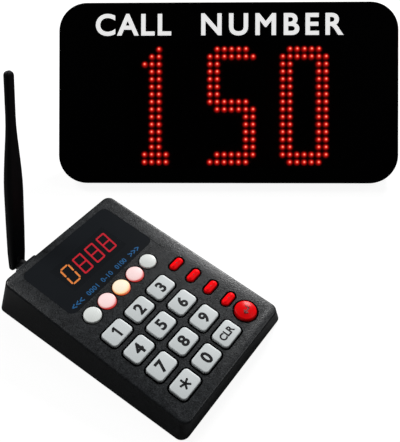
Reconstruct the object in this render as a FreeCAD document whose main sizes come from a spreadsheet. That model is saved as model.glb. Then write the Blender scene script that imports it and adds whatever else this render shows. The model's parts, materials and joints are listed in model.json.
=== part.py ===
"""Queue keypad and its remote number board, as one parametric document in millimetres.

The keypad is a wedge-shaped desk case with twelve keys, five round function buttons, four small
obround buttons, one large enter button, a window with seven-segment digits and a folding paddle
antenna. The number board is a reclined panel with three digits of round lamps on a fold-out leg.

Frames: X runs right along the number board, Y runs away from the reader and Z is up. The origin is
the middle of the whole footprint, on the desk. Each piece is drawn in the frame that suits it:
the keypad's own frame, its sloping deck, the antenna's hinge or the board's front face.
"""

import FreeCAD, Part
import math
import os
import re
from FreeCAD import Placement, Rotation, Vector
from Sketcher import Constraint

# Every driving dimension: millimetres, degrees, or a count where the name says so
SIZES = {
    # Where the two devices stand
    "keypad_turn": 54.45,
    "board_shift": -3.1,
    "board_setback": 180.2,
    # Keypad case
    "deck_width": 107.2,
    "deck_depth": 160.5,
    "deck_slope": 7.39,
    "front_height": 14.4,
    "side_flare": 4.2,
    "front_flare": 0.2,
    "back_flare": 12.5,
    "case_corner_radius": 6.0,
    "deck_edge_radius": 1.8,
    "case_wall": 2.2,
    "deck_thickness": 2.6,
    "base_floor": 2.0,
    "base_height": 3.2,
    "lip_height": 1.8,
    "lip_thickness": 1.2,
    "seat_gap": 0.2,
    # Case screws, their posts and the feet
    "post_side": 47.6,
    "post_front": 8.5,
    "post_setback": 6.9,
    "post_radius": 3.0,
    "post_bore_radius": 1.3,
    "pad_height": 4.2,
    "pad_radius": 4.6,
    "screw_radius": 1.25,
    "screw_length": 8.0,
    "screw_head_radius": 2.6,
    "screw_head_height": 1.5,
    "counterbore_radius": 2.9,
    "counterbore_depth": 2.0,
    "screw_hole_radius": 1.6,
    "foot_side": 43.0,
    "foot_front": 24.0,
    "foot_setback": 20.5,
    "foot_radius": 5.5,
    "foot_height": 1.5,
    # Twelve keys in four rows of three
    "key_columns_count": 3,
    "key_rows_count": 4,
    "key_pitch_across": 22.8,
    "key_pitch_share": 0.117445,
    "key_centre": -9.78,
    "key_front_share": 0.108847,
    "key_width": 18.4,
    "key_clearance": 5.45,
    "key_corner_radius": 2.8,
    "key_proud": 1.5,
    "key_edge_radius": 0.8,
    # Five round function buttons
    "function_count": 5,
    "function_pitch": 14.35,
    "function_centre": -4.22,
    "function_share": 0.594766,
    "function_radius": 6.2,
    "function_proud": 1.4,
    "function_edge_radius": 0.9,
    # Four obround buttons in a column
    "oval_count": 4,
    "oval_side": 36.25,
    "oval_rear_share": 0.488287,
    "oval_length": 12.2,
    "oval_width": 5.8,
    "oval_proud": 1.6,
    "oval_edge_radius": 1.3,
    # Large enter button
    "enter_side": 36.0,
    "enter_share": 0.108474,
    "enter_clearance": 14.82,
    "enter_radius": 7.9,
    "enter_proud": 1.2,
    "enter_dome": 1.5,
    # How every button is held and how far it goes down
    "button_gap": 0.5,
    "flange_reach": 0.7,
    "round_flange_reach": 0.32,
    "flange_thickness": 1.0,
    "flange_gap": 0.3,
    "button_travel": 1.2,
    "press_gap": 0.3,
    # Window sheet and the digits behind it
    "window_width": 83.6,
    "window_depth_share": 0.305296,
    "window_share": 0.807477,
    "window_corner_radius": 4.8,
    "window_thickness": 0.8,
    "window_gap": 0.12,
    "aperture_width": 54.0,
    "aperture_depth": 25.6,
    "aperture_corner_radius": 1.0,
    "digit_pitch": 12.25,
    "digit_body_depth": 24.0,
    "digit_body_height": 7.2,
    "digit_gap": 0.2,
    "red_digits_count": 3,
    # Main circuit board and what it carries
    "circuit_thickness": 1.6,
    "main_board_width": 98.0,
    "main_board_front": 12.6,
    "main_board_setback": 11.9,
    "board_post_side": 46.4,
    "board_post_first_share": 0.249221,
    "board_post_pitch_share": 0.320872,
    "board_post_rows_count": 3,
    "board_post_radius": 2.2,
    "board_bore_radius": 0.95,
    "board_screw_radius": 0.9,
    "board_hole_radius": 1.1,
    "board_screw_length": 5.0,
    "board_screw_head_radius": 1.9,
    "board_screw_head_height": 1.2,
    "switch_side": 6.0,
    "switch_height": 2.0,
    "plunger_radius": 1.7,
    "lamp_side": 2.0,
    "lamp_height": 1.2,
    "lamp_offset": 4.8,
    "radio_width": 24.0,
    "radio_depth": 30.0,
    "radio_side": -28.0,
    "radio_setback": 38.5,
    "can_width": 15.0,
    "can_depth": 18.0,
    "can_height": 2.6,
    "module_thickness": 1.0,
    "beeper_side": 18.0,
    "beeper_setback": 48.5,
    "beeper_radius": 6.0,
    "beeper_height": 5.5,
    "beeper_port_radius": 1.0,
    # Upright lands on the sloping back wall, for the antenna jack and the power inlet
    "land_setback": 7.33324,
    "land_thickness": 4.0,
    "land_width": 19.0,
    "land_height": 18.0,
    "land_recess": 8.0,
    "jack_side": -28.0,
    "jack_height": 17.7,
    "inlet_side": 28.0,
    "inlet_height": 14.6,
    # Threaded antenna jack, its nut and the swivelling knuckle
    "jack_radius": 3.2,
    "jack_core_radius": 0.9,
    "jack_flange_radius": 5.4,
    "jack_flange_thickness": 2.0,
    "jack_reach": 6.7,
    "nut_across": 8.6,
    "nut_thickness": 2.0,
    "swivel_gap": 0.05,
    "nut_gap": 0.3,
    "hinge_setback": 12.4,
    "collar_radius": 4.6,
    "collar_front": 4.4,
    "collar_wall": 1.0,
    "tongue_half": 2.3,
    "tongue_radius": 3.4,
    # Paddle antenna and its pin
    "whip_lean": 15.0,
    "whip_length": 152.0,
    "whip_below": 4.0,
    "whip_width": 13.2,
    "whip_thickness": 8.0,
    "whip_corner_radius": 3.2,
    "fork_half": 2.6,
    "fork_depth": 8.0,
    "pin_radius": 1.2,
    "pin_length": 10.4,
    "pin_fit": 0.02,
    # Power inlets: a round socket with a centre pin, the same on both devices
    "socket_radius": 2.75,
    "socket_depth": 9.0,
    "socket_floor": 1.2,
    "socket_nose_radius": 4.0,
    "socket_body": 10.0,
    "socket_body_length": 11.0,
    "socket_pin_radius": 1.0,
    "socket_pin_setback": 1.2,
    "socket_hole_gap": 0.2,
    # Number board: front sheet and case
    "display_recline": 43.58,
    "display_width": 295.3,
    "display_height": 157.6,
    "display_corner_radius": 24.5,
    "sheet_thickness": 3.0,
    "sheet_edge_radius": 0.6,
    "case_inset": 0.5,
    "display_depth": 25.0,
    "display_draft": 2.0,
    "display_wall": 2.4,
    "facet_start": 9.0,
    "board_foot_height": 2.0,
    "board_foot_length": 30.0,
    "board_foot_width": 14.0,
    "board_foot_side": 96.0,
    "board_foot_setback": 3.0,
    # Lamps of the three digits
    "dot_columns_count": 7,
    "dot_rows_count": 16,
    "dot_pitch_across": 6.3,
    "dot_pitch_along": 6.62,
    "dot_radius": 2.5,
    "dot_gap": 0.4,
    "dot_height": 5.2,
    "dot_digit_pitch": 63.8,
    "dot_field_shift": 3.4,
    "dot_bottom": 18.7,
    # Circuit boards in the number board
    "dot_board_width": 196.0,
    "dot_board_height": 112.0,
    "dot_board_bottom": 12.0,
    "dot_post_inset": 10.0,
    "dot_post_radius": 3.0,
    "dot_post_columns_count": 4,
    "control_width": 92.0,
    "control_height": 52.0,
    "control_side": -64.0,
    "control_line": 60.0,
    "control_standoff": 6.5,
    "control_post_inset": 4.0,
    "receiver_width": 26.0,
    "receiver_depth": 18.0,
    "receiver_shift": 20.0,
    "inlet_shift": 26.0,
    # Back of the number board: hinge lugs, leg, keyholes and slots
    "hinge_line": 112.0,
    "hinge_out": 31.6,
    "lug_thickness": 6.0,
    "lug_radius": 4.6,
    "lug_root": 9.0,
    "leg_splay": 14.0,
    "leg_width": 60.0,
    "leg_thickness": 4.0,
    "leg_barrel_radius": 3.6,
    "leg_window_inset": 14.0,
    "leg_window_radius": 4.0,
    "leg_gap": 0.3,
    "leg_pin_radius": 1.5,
    "leg_pin_gap": 0.05,
    "tip_height": 3.0,
    "tip_thickness": 7.0,
    "keyhole_side": 110.5,
    "keyhole_line": 118.0,
    "keyhole_radius": 4.5,
    "keyhole_slot_radius": 2.2,
    "keyhole_slot_length": 10.0,
    "slot_length": 26.0,
    "slot_width": 2.4,
    "slot_pitch": 6.0,
    "slots_count": 6,
    "slot_side": 60.0,
    "slot_line": 32.0,
    # Overrun that carries every cut past the face it opens
    "overrun": 2.0,
}

# Lines that follow the depth of the deck, so that a deeper or shorter one keeps its layout
LINES = {
    "key_front": "deck_depth * key_front_share",
    "key_pitch_along": "deck_depth * key_pitch_share",
    "key_depth": "deck_depth * key_pitch_share - key_clearance",
    "function_line": "deck_depth * function_share",
    "enter_line": "deck_depth * enter_share",
    "oval_rear": "deck_depth * oval_rear_share",
    "oval_pitch": "(deck_depth * (oval_rear_share - enter_share) - enter_clearance)"
                  " / (oval_count - 1)",
    "window_line": "deck_depth * window_share",
    "window_depth": "deck_depth * window_depth_share",
    "board_post_first": "deck_depth * board_post_first_share",
    "board_post_pitch": "deck_depth * board_post_pitch_share",
    "main_board_back": "deck_depth - main_board_setback",
    "radio_line": "deck_depth - radio_setback",
    "beeper_line": "deck_depth - beeper_setback",
    "post_back": "deck_depth - post_setback",
    "foot_back": "deck_depth - foot_setback",
    "land_back": "deck_depth * cos(deck_slope) + land_setback",
}
MEASURES = {**SIZES, **LINES}

# Lit lamps of the digits one, five and nought, one string for each row from the top
DIGIT_DOTS = (
    ("...#...", "..##...", ".###...") + ("..##...",) * 11 + (".####..",) * 2,
    (".#####.", "#######") + ("##.....",) * 5 + ("######.", ".######")
    + (".....##",) * 5 + (".######", "######."),
    (".#####.", "#######") + ("##...##",) * 12 + ("#######", ".#####."),
)

# Antenna outline from bottom to tip: share of the length, of the width and of the thickness
WHIP_SHARES = (
    (0.0, 0.86, 0.92),
    (0.09, 0.96, 1.0),
    (0.24, 1.0, 1.0),
    (0.44, 1.0, 1.0),
    (0.49, 0.975, 0.97),
    (0.54, 0.91, 0.92),
    (0.60, 0.80, 0.84),
    (0.66, 0.67, 0.75),
    (0.71, 0.565, 0.67),
    (0.76, 0.49, 0.60),
    (0.81, 0.46, 0.57),
    (0.985, 0.45, 0.56),
)
TIP_SHARES = ((0.985, 0.45, 0.56), (0.995, 0.38, 0.46), (1.0, 0.24, 0.26))

doc = FreeCAD.newDocument("QueueKeypad")
sheet = doc.addObject("Spreadsheet::Sheet", "Sizes")
for row, (alias, content) in enumerate(MEASURES.items(), start=1):
    sheet.set("A%d" % row, alias)
    sheet.set("B%d" % row, ("=%s" if alias in LINES else "%s") % content)
    sheet.setAlias("B%d" % row, alias)
doc.recompute()

WORK_CELL = "A1"
work = doc.addObject("Spreadsheet::Sheet", "Work")
nodes = {}


def linked(expression):
    """The expression with each size name pointing at its cell in the sheet."""
    return re.sub(r"[a-z]\w*", lambda word: ("Sizes." if word.group() in MEASURES else "")
                  + word.group(), expression)


def value(expression):
    """The number that an expression of size names comes to."""
    work.set(WORK_CELL, "=" + linked(expression))
    work.recompute()
    return float(work.get(WORK_CELL))


def bind(item, path, expression):
    item.setExpression(path, linked(expression))


def new_body(label):
    body = doc.addObject("PartDesign::Body", "Body_" + label)
    body.Label = label
    nodes[label] = body
    return body


def new_sketch(body, name, plane="XY_Plane", offset=("0", "0", "0"), tilt=None):
    """A sketch on one of the body's own planes, moved along it and tilted about its X axis."""
    sketch = body.newObject("Sketcher::SketchObject", body.Label + "_" + name)
    support = [item for item in body.Origin.OriginFeatures if item.Role == plane][0]
    sketch.AttachmentSupport = [(support, "")]
    sketch.MapMode = "FlatFace"
    if tilt:
        sketch.AttachmentOffset = Placement(Vector(), Rotation(Vector(1, 0, 0), value(tilt)))
        bind(sketch, "AttachmentOffset.Rotation.Angle", tilt)
    for axis, expression in zip("xyz", offset):
        if expression != "0":
            bind(sketch, "AttachmentOffset.Base." + axis, expression)
    return sketch


def pin_point(sketch, element, corner, x, y):
    """Fixes one point of a sketch element at a place given by two expressions."""
    if x == "0" and y == "0":
        sketch.addConstraint(Constraint("Coincident", element, corner, -1, 1))
        return
    for expression, kind, axis in ((x, "DistanceX", -2), (y, "DistanceY", -1)):
        if expression == "0":
            sketch.addConstraint(Constraint("PointOnObject", element, corner, axis))
        else:
            place = Constraint(kind, -1, 1, element, corner, value(expression))
            index = sketch.addConstraint(place)
            bind(sketch, "Constraints[%d]" % index, expression)


def size_constraint(sketch, kind, parts, expression):
    index = sketch.addConstraint(Constraint(kind, *parts, value(expression)))
    bind(sketch, "Constraints[%d]" % index, expression)


def draw_outline(sketch, points):
    """A closed polygon whose corners are pairs of expressions."""
    first = sketch.GeometryCount
    places = [Vector(value(x), value(y), 0) for x, y in points]
    for start, end in zip(places, places[1:] + places[:1]):
        sketch.addGeometry(Part.LineSegment(start, end), False)
    for number, (x, y) in enumerate(points):
        before = first + (number - 1) % len(points)
        sketch.addConstraint(Constraint("Coincident", before, 2, first + number, 1))
        pin_point(sketch, first + number, 1, x, y)


def draw_circle(sketch, radius, x="0", y="0"):
    circle = Part.Circle(Vector(value(x), value(y), 0), Vector(0, 0, 1), value(radius))
    index = sketch.addGeometry(circle, False)
    size_constraint(sketch, "Radius", (index,), radius)
    pin_point(sketch, index, 3, x, y)


def draw_rounded(sketch, width, depth, radius, x="0", y="0"):
    """A rectangle with round corners, centred on a place."""
    first = sketch.GeometryCount
    half_width, half_depth, round_off = value(width) / 2, value(depth) / 2, value(radius)
    middle = Vector(value(x), value(y), 0)
    arcs = []
    for side, way, start in ((1, -1, -90), (1, 1, 0), (-1, 1, 90), (-1, -1, 180)):
        reach = Vector(side * (half_width - round_off), way * (half_depth - round_off), 0)
        circle = Part.Circle(middle + reach, Vector(0, 0, 1), round_off)
        arcs.append(
            Part.ArcOfCircle(circle, math.radians(start), math.radians(start + 90)))
    for arc, after in zip(arcs, arcs[1:] + arcs[:1]):
        sketch.addGeometry(arc, False)
        sketch.addGeometry(Part.LineSegment(arc.EndPoint, after.StartPoint), False)
    count = 2 * len(arcs)
    for number in range(count):
        after = first + (number + 1) % count
        sketch.addConstraint(Constraint("Tangent", first + number, 2, after, 1))
    for number in range(2, count, 2):
        sketch.addConstraint(Constraint("Equal", first, first + number))
    for number, kind in ((1, "Vertical"), (3, "Horizontal"), (5, "Vertical"), (7, "Horizontal")):
        sketch.addConstraint(Constraint(kind, first + number))
    size_constraint(sketch, "Radius", (first,), radius)
    size_constraint(sketch, "DistanceX", (first + 5, 1, first + 1, 1), width)
    size_constraint(sketch, "DistanceY", (first + 7, 1, first + 3, 1), depth)
    size_constraint(sketch, "DistanceX", (-1, 1, first + 5, 1), "(%s) - (%s) / 2" % (x, width))
    size_constraint(sketch, "DistanceY", (-1, 1, first + 7, 1), "(%s) - (%s) / 2" % (y, depth))


def draw_obround(sketch, length, width, x="0", y="0", upright=False):
    """A slot with round ends, lying along X or standing along Y."""
    first = sketch.GeometryCount
    reach = (value(length) - value(width)) / 2
    along = Vector(0, 1, 0) if upright else Vector(1, 0, 0)
    middle = Vector(value(x), value(y), 0)
    turn = 90 if upright else 0
    arcs = []
    for side, start in ((1, -90), (-1, 90)):
        circle = Part.Circle(middle + along * (side * reach), Vector(0, 0, 1), value(width) / 2)
        begin = start + turn
        arcs.append(Part.ArcOfCircle(circle, math.radians(begin), math.radians(begin + 180)))
    for arc, after in zip(arcs, reversed(arcs)):
        sketch.addGeometry(arc, False)
        sketch.addGeometry(Part.LineSegment(arc.EndPoint, after.StartPoint), False)
    for number in range(4):
        after = first + (number + 1) % 4
        sketch.addConstraint(Constraint("Tangent", first + number, 2, after, 1))
    sketch.addConstraint(Constraint("Equal", first, first + 2))
    size_constraint(sketch, "Radius", (first,), "(%s) / 2" % width)
    for element, sign in ((first, "+"), (first + 2, "-")):
        moved = "((%s) - (%s)) / 2" % (length, width)
        if upright:
            pin_point(sketch, element, 3, x, "(%s) %s %s" % (y, sign, moved))
        else:
            pin_point(sketch, element, 3, "(%s) %s %s" % (x, sign, moved), y)


def extrude(body, kind, sketch, length, reverse=False, both_ways=False, taper=None):
    """A pad or a pocket of the sketch over the given length."""
    feature = body.newObject("PartDesign::" + kind, sketch.Name + "_" + kind)
    feature.Profile = sketch
    if both_ways:
        feature.SideType = "Symmetric"
    feature.Reversed = reverse
    bind(feature, "Length", length)
    if taper:
        bind(feature, "TaperAngle", taper)
    sketch.Visibility = False
    return feature


def pad(body, sketch, length, **options):
    return extrude(body, "Pad", sketch, length, **options)


def pocket(body, sketch, length, **options):
    """A pocket that must take material away."""
    before = settled(body).Volume
    feature = extrude(body, "Pocket", sketch, length, **options)
    if settled(body).Volume >= before:
        raise RuntimeError(feature.Name + " cuts nothing")
    return feature


def settled(item):
    doc.recompute()
    return item.Shape


def loft(body, kind, sections, ruled=False):
    feature = body.newObject("PartDesign::" + kind, sections[0].Name + "_" + kind)
    feature.Profile = sections[0]
    feature.Sections = sections[1:]
    feature.Ruled = ruled
    return feature


def repeat(body, feature, across, across_count, along=None, along_count=None):
    """Copies of one feature along its sketch's X axis, and along its Y axis if asked."""
    sketch = feature.Profile[0]
    pattern = body.newObject("PartDesign::LinearPattern", feature.Name + "_Pattern")
    pattern.Originals = [feature]
    pattern.Direction = (sketch, ["H_Axis"])
    bind(pattern, "Length", "(%s) * (%s - 1)" % (across, across_count))
    bind(pattern, "Occurrences", across_count)
    if along:
        pattern.Direction2 = (sketch, ["V_Axis"])
        bind(pattern, "Length2", "(%s) * (%s - 1)" % (along, along_count))
        bind(pattern, "Occurrences2", along_count)
    body.Tip = pattern
    return pattern


def face_towards(shape, direction):
    """The name of the plane face that looks along a direction and lies furthest that way."""
    best = None
    for number, face in enumerate(shape.Faces, start=1):
        if face.Surface.TypeId == "Part::GeomPlane":
            normal = face.normalAt(*face.Surface.parameter(face.CenterOfMass))
            if normal.dot(direction) > 0.999:
                reach = face.CenterOfMass.dot(direction)
                if best is None or reach > best[0]:
                    best = (reach, "Face%d" % number)
    return best[1]


def round_face(body, direction, radius, name="Edge_round"):
    """Rounds every edge of the face that lies furthest along a direction."""
    base = body.Tip
    face = face_towards(settled(base), direction)
    feature = body.newObject("PartDesign::Fillet", body.Label + "_" + name)
    feature.Base = (base, [face])
    bind(feature, "Radius", radius)
    return feature


def primitive(kind, label, name, **measures):
    """A Part primitive with its measures bound to expressions of the sizes."""
    item = doc.addObject("Part::" + kind, label + "_" + name)
    for measure, expression in measures.items():
        bind(item, measure, expression)
    return item


def feature_from(label, shape):
    item = doc.addObject("Part::Feature", label)
    item.Label = label
    item.Shape = shape
    nodes[label] = item
    return item


def solid_box(width, depth, height, x, y, z):
    """A box centred on x and y that stands on z."""
    return Part.makeBox(width, depth, height, Vector(x - width / 2, y - depth / 2, z))


def stack(*solids):
    """One solid made of pieces that sit on one another."""
    whole = solids[0]
    for solid in solids[1:]:
        whole = whole.fuse(solid)
    return whole.removeSplitter()


size = {name: float(sheet.get(name)) for name in MEASURES}
UP = Vector(0, 0, 1)
SIDE = Vector(1, 0, 0)

# Frames in which the pieces are drawn
FRAME_KEYPAD = Placement(Vector(0, 0, size["foot_height"]), Rotation(UP, size["keypad_turn"]))
FRAME_DECK = FRAME_KEYPAD * Placement(
    Vector(0, 0, size["front_height"]), Rotation(SIDE, size["deck_slope"]))
FRAME_HINGE = FRAME_KEYPAD * Placement(
    Vector(size["jack_side"], size["land_back"] + size["hinge_setback"], size["jack_height"]),
    Rotation(Vector(0, 1, 0), size["whip_lean"]))
SHEET_RISE = "(facet_start * cos(display_recline) + board_foot_height)"
FRAME_DISPLAY = Placement(
    Vector(size["board_shift"], size["board_setback"], value(SHEET_RISE)),
    Rotation(SIDE, size["display_recline"]))
LEG_RISE = ("(" + SHEET_RISE + " + hinge_line * sin(display_recline)"
            " - hinge_out * cos(display_recline))")
FRAME_LEG = Placement(
    FRAME_DISPLAY.multVec(Vector(0, size["hinge_line"], -size["hinge_out"])),
    Rotation(SIDE, size["leg_splay"]))
FRAME_FACET = Placement(FRAME_DISPLAY.multVec(Vector(0, 0, -size["facet_start"])), Rotation())

# Expressions that several pieces share
CASE_DEPTH = "(deck_depth * cos(deck_slope))"
BASE_WIDTH = "(deck_width + 2 * side_flare)"
BASE_DEPTH = "(" + CASE_DEPTH + " + front_flare + back_flare)"
BASE_MIDDLE = "((" + CASE_DEPTH + " + back_flare - front_flare) / 2)"
FLANGE_TOP = "(deck_thickness + flange_gap)"
BOARD_TOP = "(window_thickness + digit_gap + digit_body_height)"
PLUNGER_TOP = "(" + FLANGE_TOP + " + flange_thickness + button_travel + press_gap)"
LUG_INNER = "(leg_width / 2 + leg_gap)"
LEG_PIN_LENGTH = "(2 * " + LUG_INNER + " + 2 * lug_thickness)"
DOT_BOARD_BACK = "(sheet_thickness + dot_gap + dot_height + circuit_thickness)"
CASE_FLOOR = "(display_depth - display_wall)"

# Steps of the quarter round in which the walls roll over into the deck, in degrees
SHOULDER_STEPS = (0, 22.5, 45, 67.5, 90)


def deck_sketch(body, name, depth="0"):
    """A sketch on the plane that lies a given depth below the deck."""
    return new_sketch(body, name, tilt="deck_slope", offset=(
        "0", "(%s) * sin(deck_slope)" % depth, "front_height - (%s) * cos(deck_slope)" % depth))


def deck_outline(body, name, inset, drop):
    """The deck's rounded outline, drawn in by an inset and lowered by a drop."""
    sketch = deck_sketch(body, name, drop)
    draw_rounded(sketch, "deck_width - 2 * (%s)" % inset, "deck_depth - 2 * (%s)" % inset,
                 "case_corner_radius - (%s)" % inset, "0", "deck_depth / 2")
    return sketch


def case_loft(body, kind, name, inset, drop, below):
    """The wedge between the base outline and the deck outline, drawn in by an inset."""
    base = new_sketch(body, name + "_base", offset=("0", "0", "-(%s)" % below))
    draw_rounded(base, BASE_WIDTH + " - 2 * (%s)" % inset, BASE_DEPTH + " - 2 * (%s)" % inset,
                 "case_corner_radius - (%s)" % inset, "0", BASE_MIDDLE)
    return loft(body, kind, [base, deck_outline(body, name + "_deck", inset, drop)])


def case_outside(body):
    """The whole outside of the keypad: flared walls that roll over into the deck."""
    case_loft(body, "AdditiveLoft", "outer", "0", "deck_edge_radius", "0")
    sections = []
    for number, angle in enumerate(SHOULDER_STEPS):
        sections.append(deck_outline(body, "shoulder_%d" % number,
                                     "(1 - cos(%g)) * deck_edge_radius" % angle,
                                     "(1 - sin(%g)) * deck_edge_radius" % angle))
    loft(body, "AdditiveLoft", sections, ruled=True)


def case_posts():
    """The four screw places as expressions of X and Y."""
    for side in ("-post_side", "post_side"):
        for line in ("post_front", "post_back"):
            yield side, line


def keypad_top_case():
    """Moulded shell: sloping deck, flared walls, button openings, window seat and posts."""
    body = new_body("keypad_top_case")
    case_outside(body)
    trim = new_sketch(body, "seam")
    draw_rounded(trim, BASE_WIDTH + " + 2 * overrun", BASE_DEPTH + " + 2 * overrun",
                 "case_corner_radius", "0", BASE_MIDDLE)
    pocket(body, trim, "base_height", reverse=True)
    case_loft(body, "SubtractiveLoft", "inner", "case_wall", "deck_thickness", "overrun")
    settled(body)
    land_blocks(body)
    front_posts = new_sketch(body, "front_posts", offset=("0", "0", "pad_height"))
    back_posts = new_sketch(body, "back_posts", offset=("0", "0", "pad_height"))
    for side in ("-post_side", "post_side"):
        draw_circle(front_posts, "post_radius", side, "post_front")
        draw_circle(back_posts, "post_radius", side, "post_back")
    reach = "front_height - pad_height + (%s) * tan(deck_slope) - deck_thickness / 2"
    pad(body, front_posts, reach % "post_front")
    pad(body, back_posts, reach % "post_back")
    bores = new_sketch(body, "post_bores", offset=("0", "0", "pad_height"))
    for side, line in case_posts():
        draw_circle(bores, "post_bore_radius", side, line)
    pocket(body, bores, "screw_length - pad_height + counterbore_depth", reverse=True)
    board_posts = deck_sketch(body, "board_posts", BOARD_TOP)
    for side in ("-board_post_side", "board_post_side"):
        for line in board_post_lines():
            draw_circle(board_posts, "board_post_radius", side, line)
    pad(body, board_posts, BOARD_TOP + " - deck_thickness / 2")
    board_bores = deck_sketch(body, "board_bores", BOARD_TOP)
    for side in ("-board_post_side", "board_post_side"):
        for line in board_post_lines():
            draw_circle(board_bores, "board_bore_radius", side, line)
    pocket(body, board_bores, "board_screw_length - circuit_thickness", reverse=True)
    button_openings(body)
    seat = deck_sketch(body, "window_seat")
    draw_rounded(seat, "window_width + 2 * window_gap", "window_depth + 2 * window_gap",
                 "window_corner_radius + window_gap", "0", "window_line")
    pocket(body, seat, "window_thickness")
    aperture = deck_sketch(body, "window_aperture")
    draw_rounded(aperture, "aperture_width", "aperture_depth", "aperture_corner_radius",
                 "0", "window_line")
    pocket(body, aperture, "deck_thickness + overrun")
    return body


def board_post_lines():
    for number in range(int(size["board_post_rows_count"])):
        yield "board_post_first + %d * board_post_pitch" % number


def land_blocks(body):
    """Upright lands for the antenna jack and the power inlet, with their holes."""
    lands = (("antenna_land", "jack_side", "jack_height", "jack_radius + swivel_gap"),
             ("inlet_land", "inlet_side", "inlet_height",
              "socket_nose_radius + socket_hole_gap"))
    for name, side, height, hole in lands:
        block = new_sketch(body, name, plane="XZ_Plane", offset=("0", "0", "-land_back"))
        draw_rounded(block, "land_width", "land_height", "case_wall", side, height)
        pad(body, block, "land_thickness")
        recess = new_sketch(body, name + "_recess", plane="XZ_Plane",
                            offset=("0", "0", "-land_back"))
        draw_rounded(recess, "land_width", "land_height", "case_wall", side, height)
        pocket(body, recess, "land_recess")
        opening = new_sketch(body, name + "_hole", plane="XZ_Plane",
                             offset=("0", "0", "-land_back"))
        draw_circle(opening, hole, side, height)
        pocket(body, opening, "land_thickness + overrun", reverse=True)
    spot = new_sketch(body, "spot_faces", plane="XZ_Plane",
                      offset=("0", "0", "land_thickness - land_back"))
    draw_circle(spot, "jack_flange_radius + seat_gap", "jack_side", "jack_height")
    draw_circle(spot, "socket_body / sqrt(2) + seat_gap", "inlet_side", "inlet_height")
    pocket(body, spot, "jack_flange_thickness + overrun", reverse=True)


def button_openings(body):
    """The 22 openings in the deck, each a running gap wider than its button."""
    depth = "deck_thickness + overrun"
    keys = deck_sketch(body, "key_opening")
    draw_rounded(keys, "key_width + 2 * button_gap", "key_depth + 2 * button_gap",
                 "key_corner_radius + button_gap", "key_centre - key_pitch_across", "key_front")
    first = pocket(body, keys, depth)
    repeat(body, first, "key_pitch_across", "key_columns_count",
           "key_pitch_along", "key_rows_count")
    rounds = deck_sketch(body, "function_opening")
    draw_circle(rounds, "function_radius + button_gap", function_place(0), "function_line")
    repeat(body, pocket(body, rounds, depth), "function_pitch", "function_count")
    ovals = deck_sketch(body, "oval_opening")
    for number in range(int(size["oval_count"])):
        draw_obround(ovals, "oval_length + 2 * button_gap", "oval_width + 2 * button_gap",
                     "oval_side", "oval_rear - %d * oval_pitch" % number)
    pocket(body, ovals, depth)
    enter = deck_sketch(body, "enter_opening")
    draw_circle(enter, "enter_radius + button_gap", "enter_side", "enter_line")
    pocket(body, enter, depth)


def function_place(number):
    return "function_centre + (%d - (function_count - 1) / 2) * function_pitch" % number


def keypad_bottom_case():
    """Base tray: the lowest band of the walls, a floor, screw pads and a locating lip."""
    body = new_body("keypad_bottom_case")
    case_outside(body)
    trim = new_sketch(body, "seam", offset=("0", "0", "base_height"))
    draw_rounded(trim, BASE_WIDTH + " + 2 * overrun", BASE_DEPTH + " + 2 * overrun",
                 "case_corner_radius", "0", BASE_MIDDLE)
    pocket(body, trim, CASE_DEPTH, reverse=True)
    lip = new_sketch(body, "lip", offset=("0", "0", "base_floor / 2"))
    lip_outline(lip, "0")
    pad(body, lip, "base_height - base_floor / 2 + lip_height")
    tray = new_sketch(body, "tray", offset=("0", "0", "base_floor"))
    lip_outline(tray, "lip_thickness")
    pocket(body, tray, "base_height + lip_height + overrun", reverse=True)
    pads = new_sketch(body, "screw_pads", offset=("0", "0", "base_floor / 2"))
    for side, line in case_posts():
        draw_circle(pads, "pad_radius", side, line)
    pad(body, pads, "pad_height - base_floor / 2")
    holes = new_sketch(body, "screw_holes")
    heads = new_sketch(body, "counterbores")
    for side, line in case_posts():
        draw_circle(holes, "screw_hole_radius", side, line)
        draw_circle(heads, "counterbore_radius", side, line)
    pocket(body, holes, "pad_height + overrun", reverse=True)
    pocket(body, heads, "counterbore_depth", reverse=True)
    return body


def lip_outline(sketch, inset):
    """The lip's outline, clear of the walls of the top case that lean in over it."""
    rise = "(base_height + lip_height + overrun)"
    cavity = "(front_height + overrun)"
    side = "(case_wall + seat_gap + side_flare * %s / %s + %s)" % (rise, cavity, inset)
    back = ("(case_wall + seat_gap + back_flare * %s / (%s + %s * tan(deck_slope)) + %s)"
            % (rise, cavity, CASE_DEPTH, inset))
    front = "(case_wall + seat_gap + front_flare + %s)" % inset
    draw_rounded(sketch, "%s - 2 * %s" % (BASE_WIDTH, side),
                 "%s - %s - %s" % (BASE_DEPTH, front, back), "case_corner_radius", "0",
                 "%s + (%s - %s) / 2" % (BASE_MIDDLE, front, back))


def keypad_window():
    """Flush dark sheet over the digits."""
    body = new_body("keypad_window")
    face = new_sketch(body, "face")
    draw_rounded(face, "window_width", "window_depth", "window_corner_radius", "0", "window_line")
    pad(body, face, "window_thickness", reverse=True)
    return body


def pressed_button(label, draw, proud, edge_radius, reach="flange_reach"):
    """A cap that runs in its opening, with a flange that holds it under the deck."""
    body = new_body(label)
    flange = new_sketch(body, "flange", offset=("0", "0", "-" + FLANGE_TOP))
    draw(flange, "button_gap + " + reach)
    pad(body, flange, "flange_thickness", reverse=True)
    cap = new_sketch(body, "cap", offset=("0", "0", "-" + FLANGE_TOP))
    draw(cap, "0")
    pad(body, cap, FLANGE_TOP + " + " + proud)
    round_face(body, UP, edge_radius)
    return body


def key_names():
    """Key names row by row from the front, left to right."""
    return (("key_star", "key_0", "key_clear"), ("key_7", "key_8", "key_9"),
            ("key_4", "key_5", "key_6"), ("key_1", "key_2", "key_3"))


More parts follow.
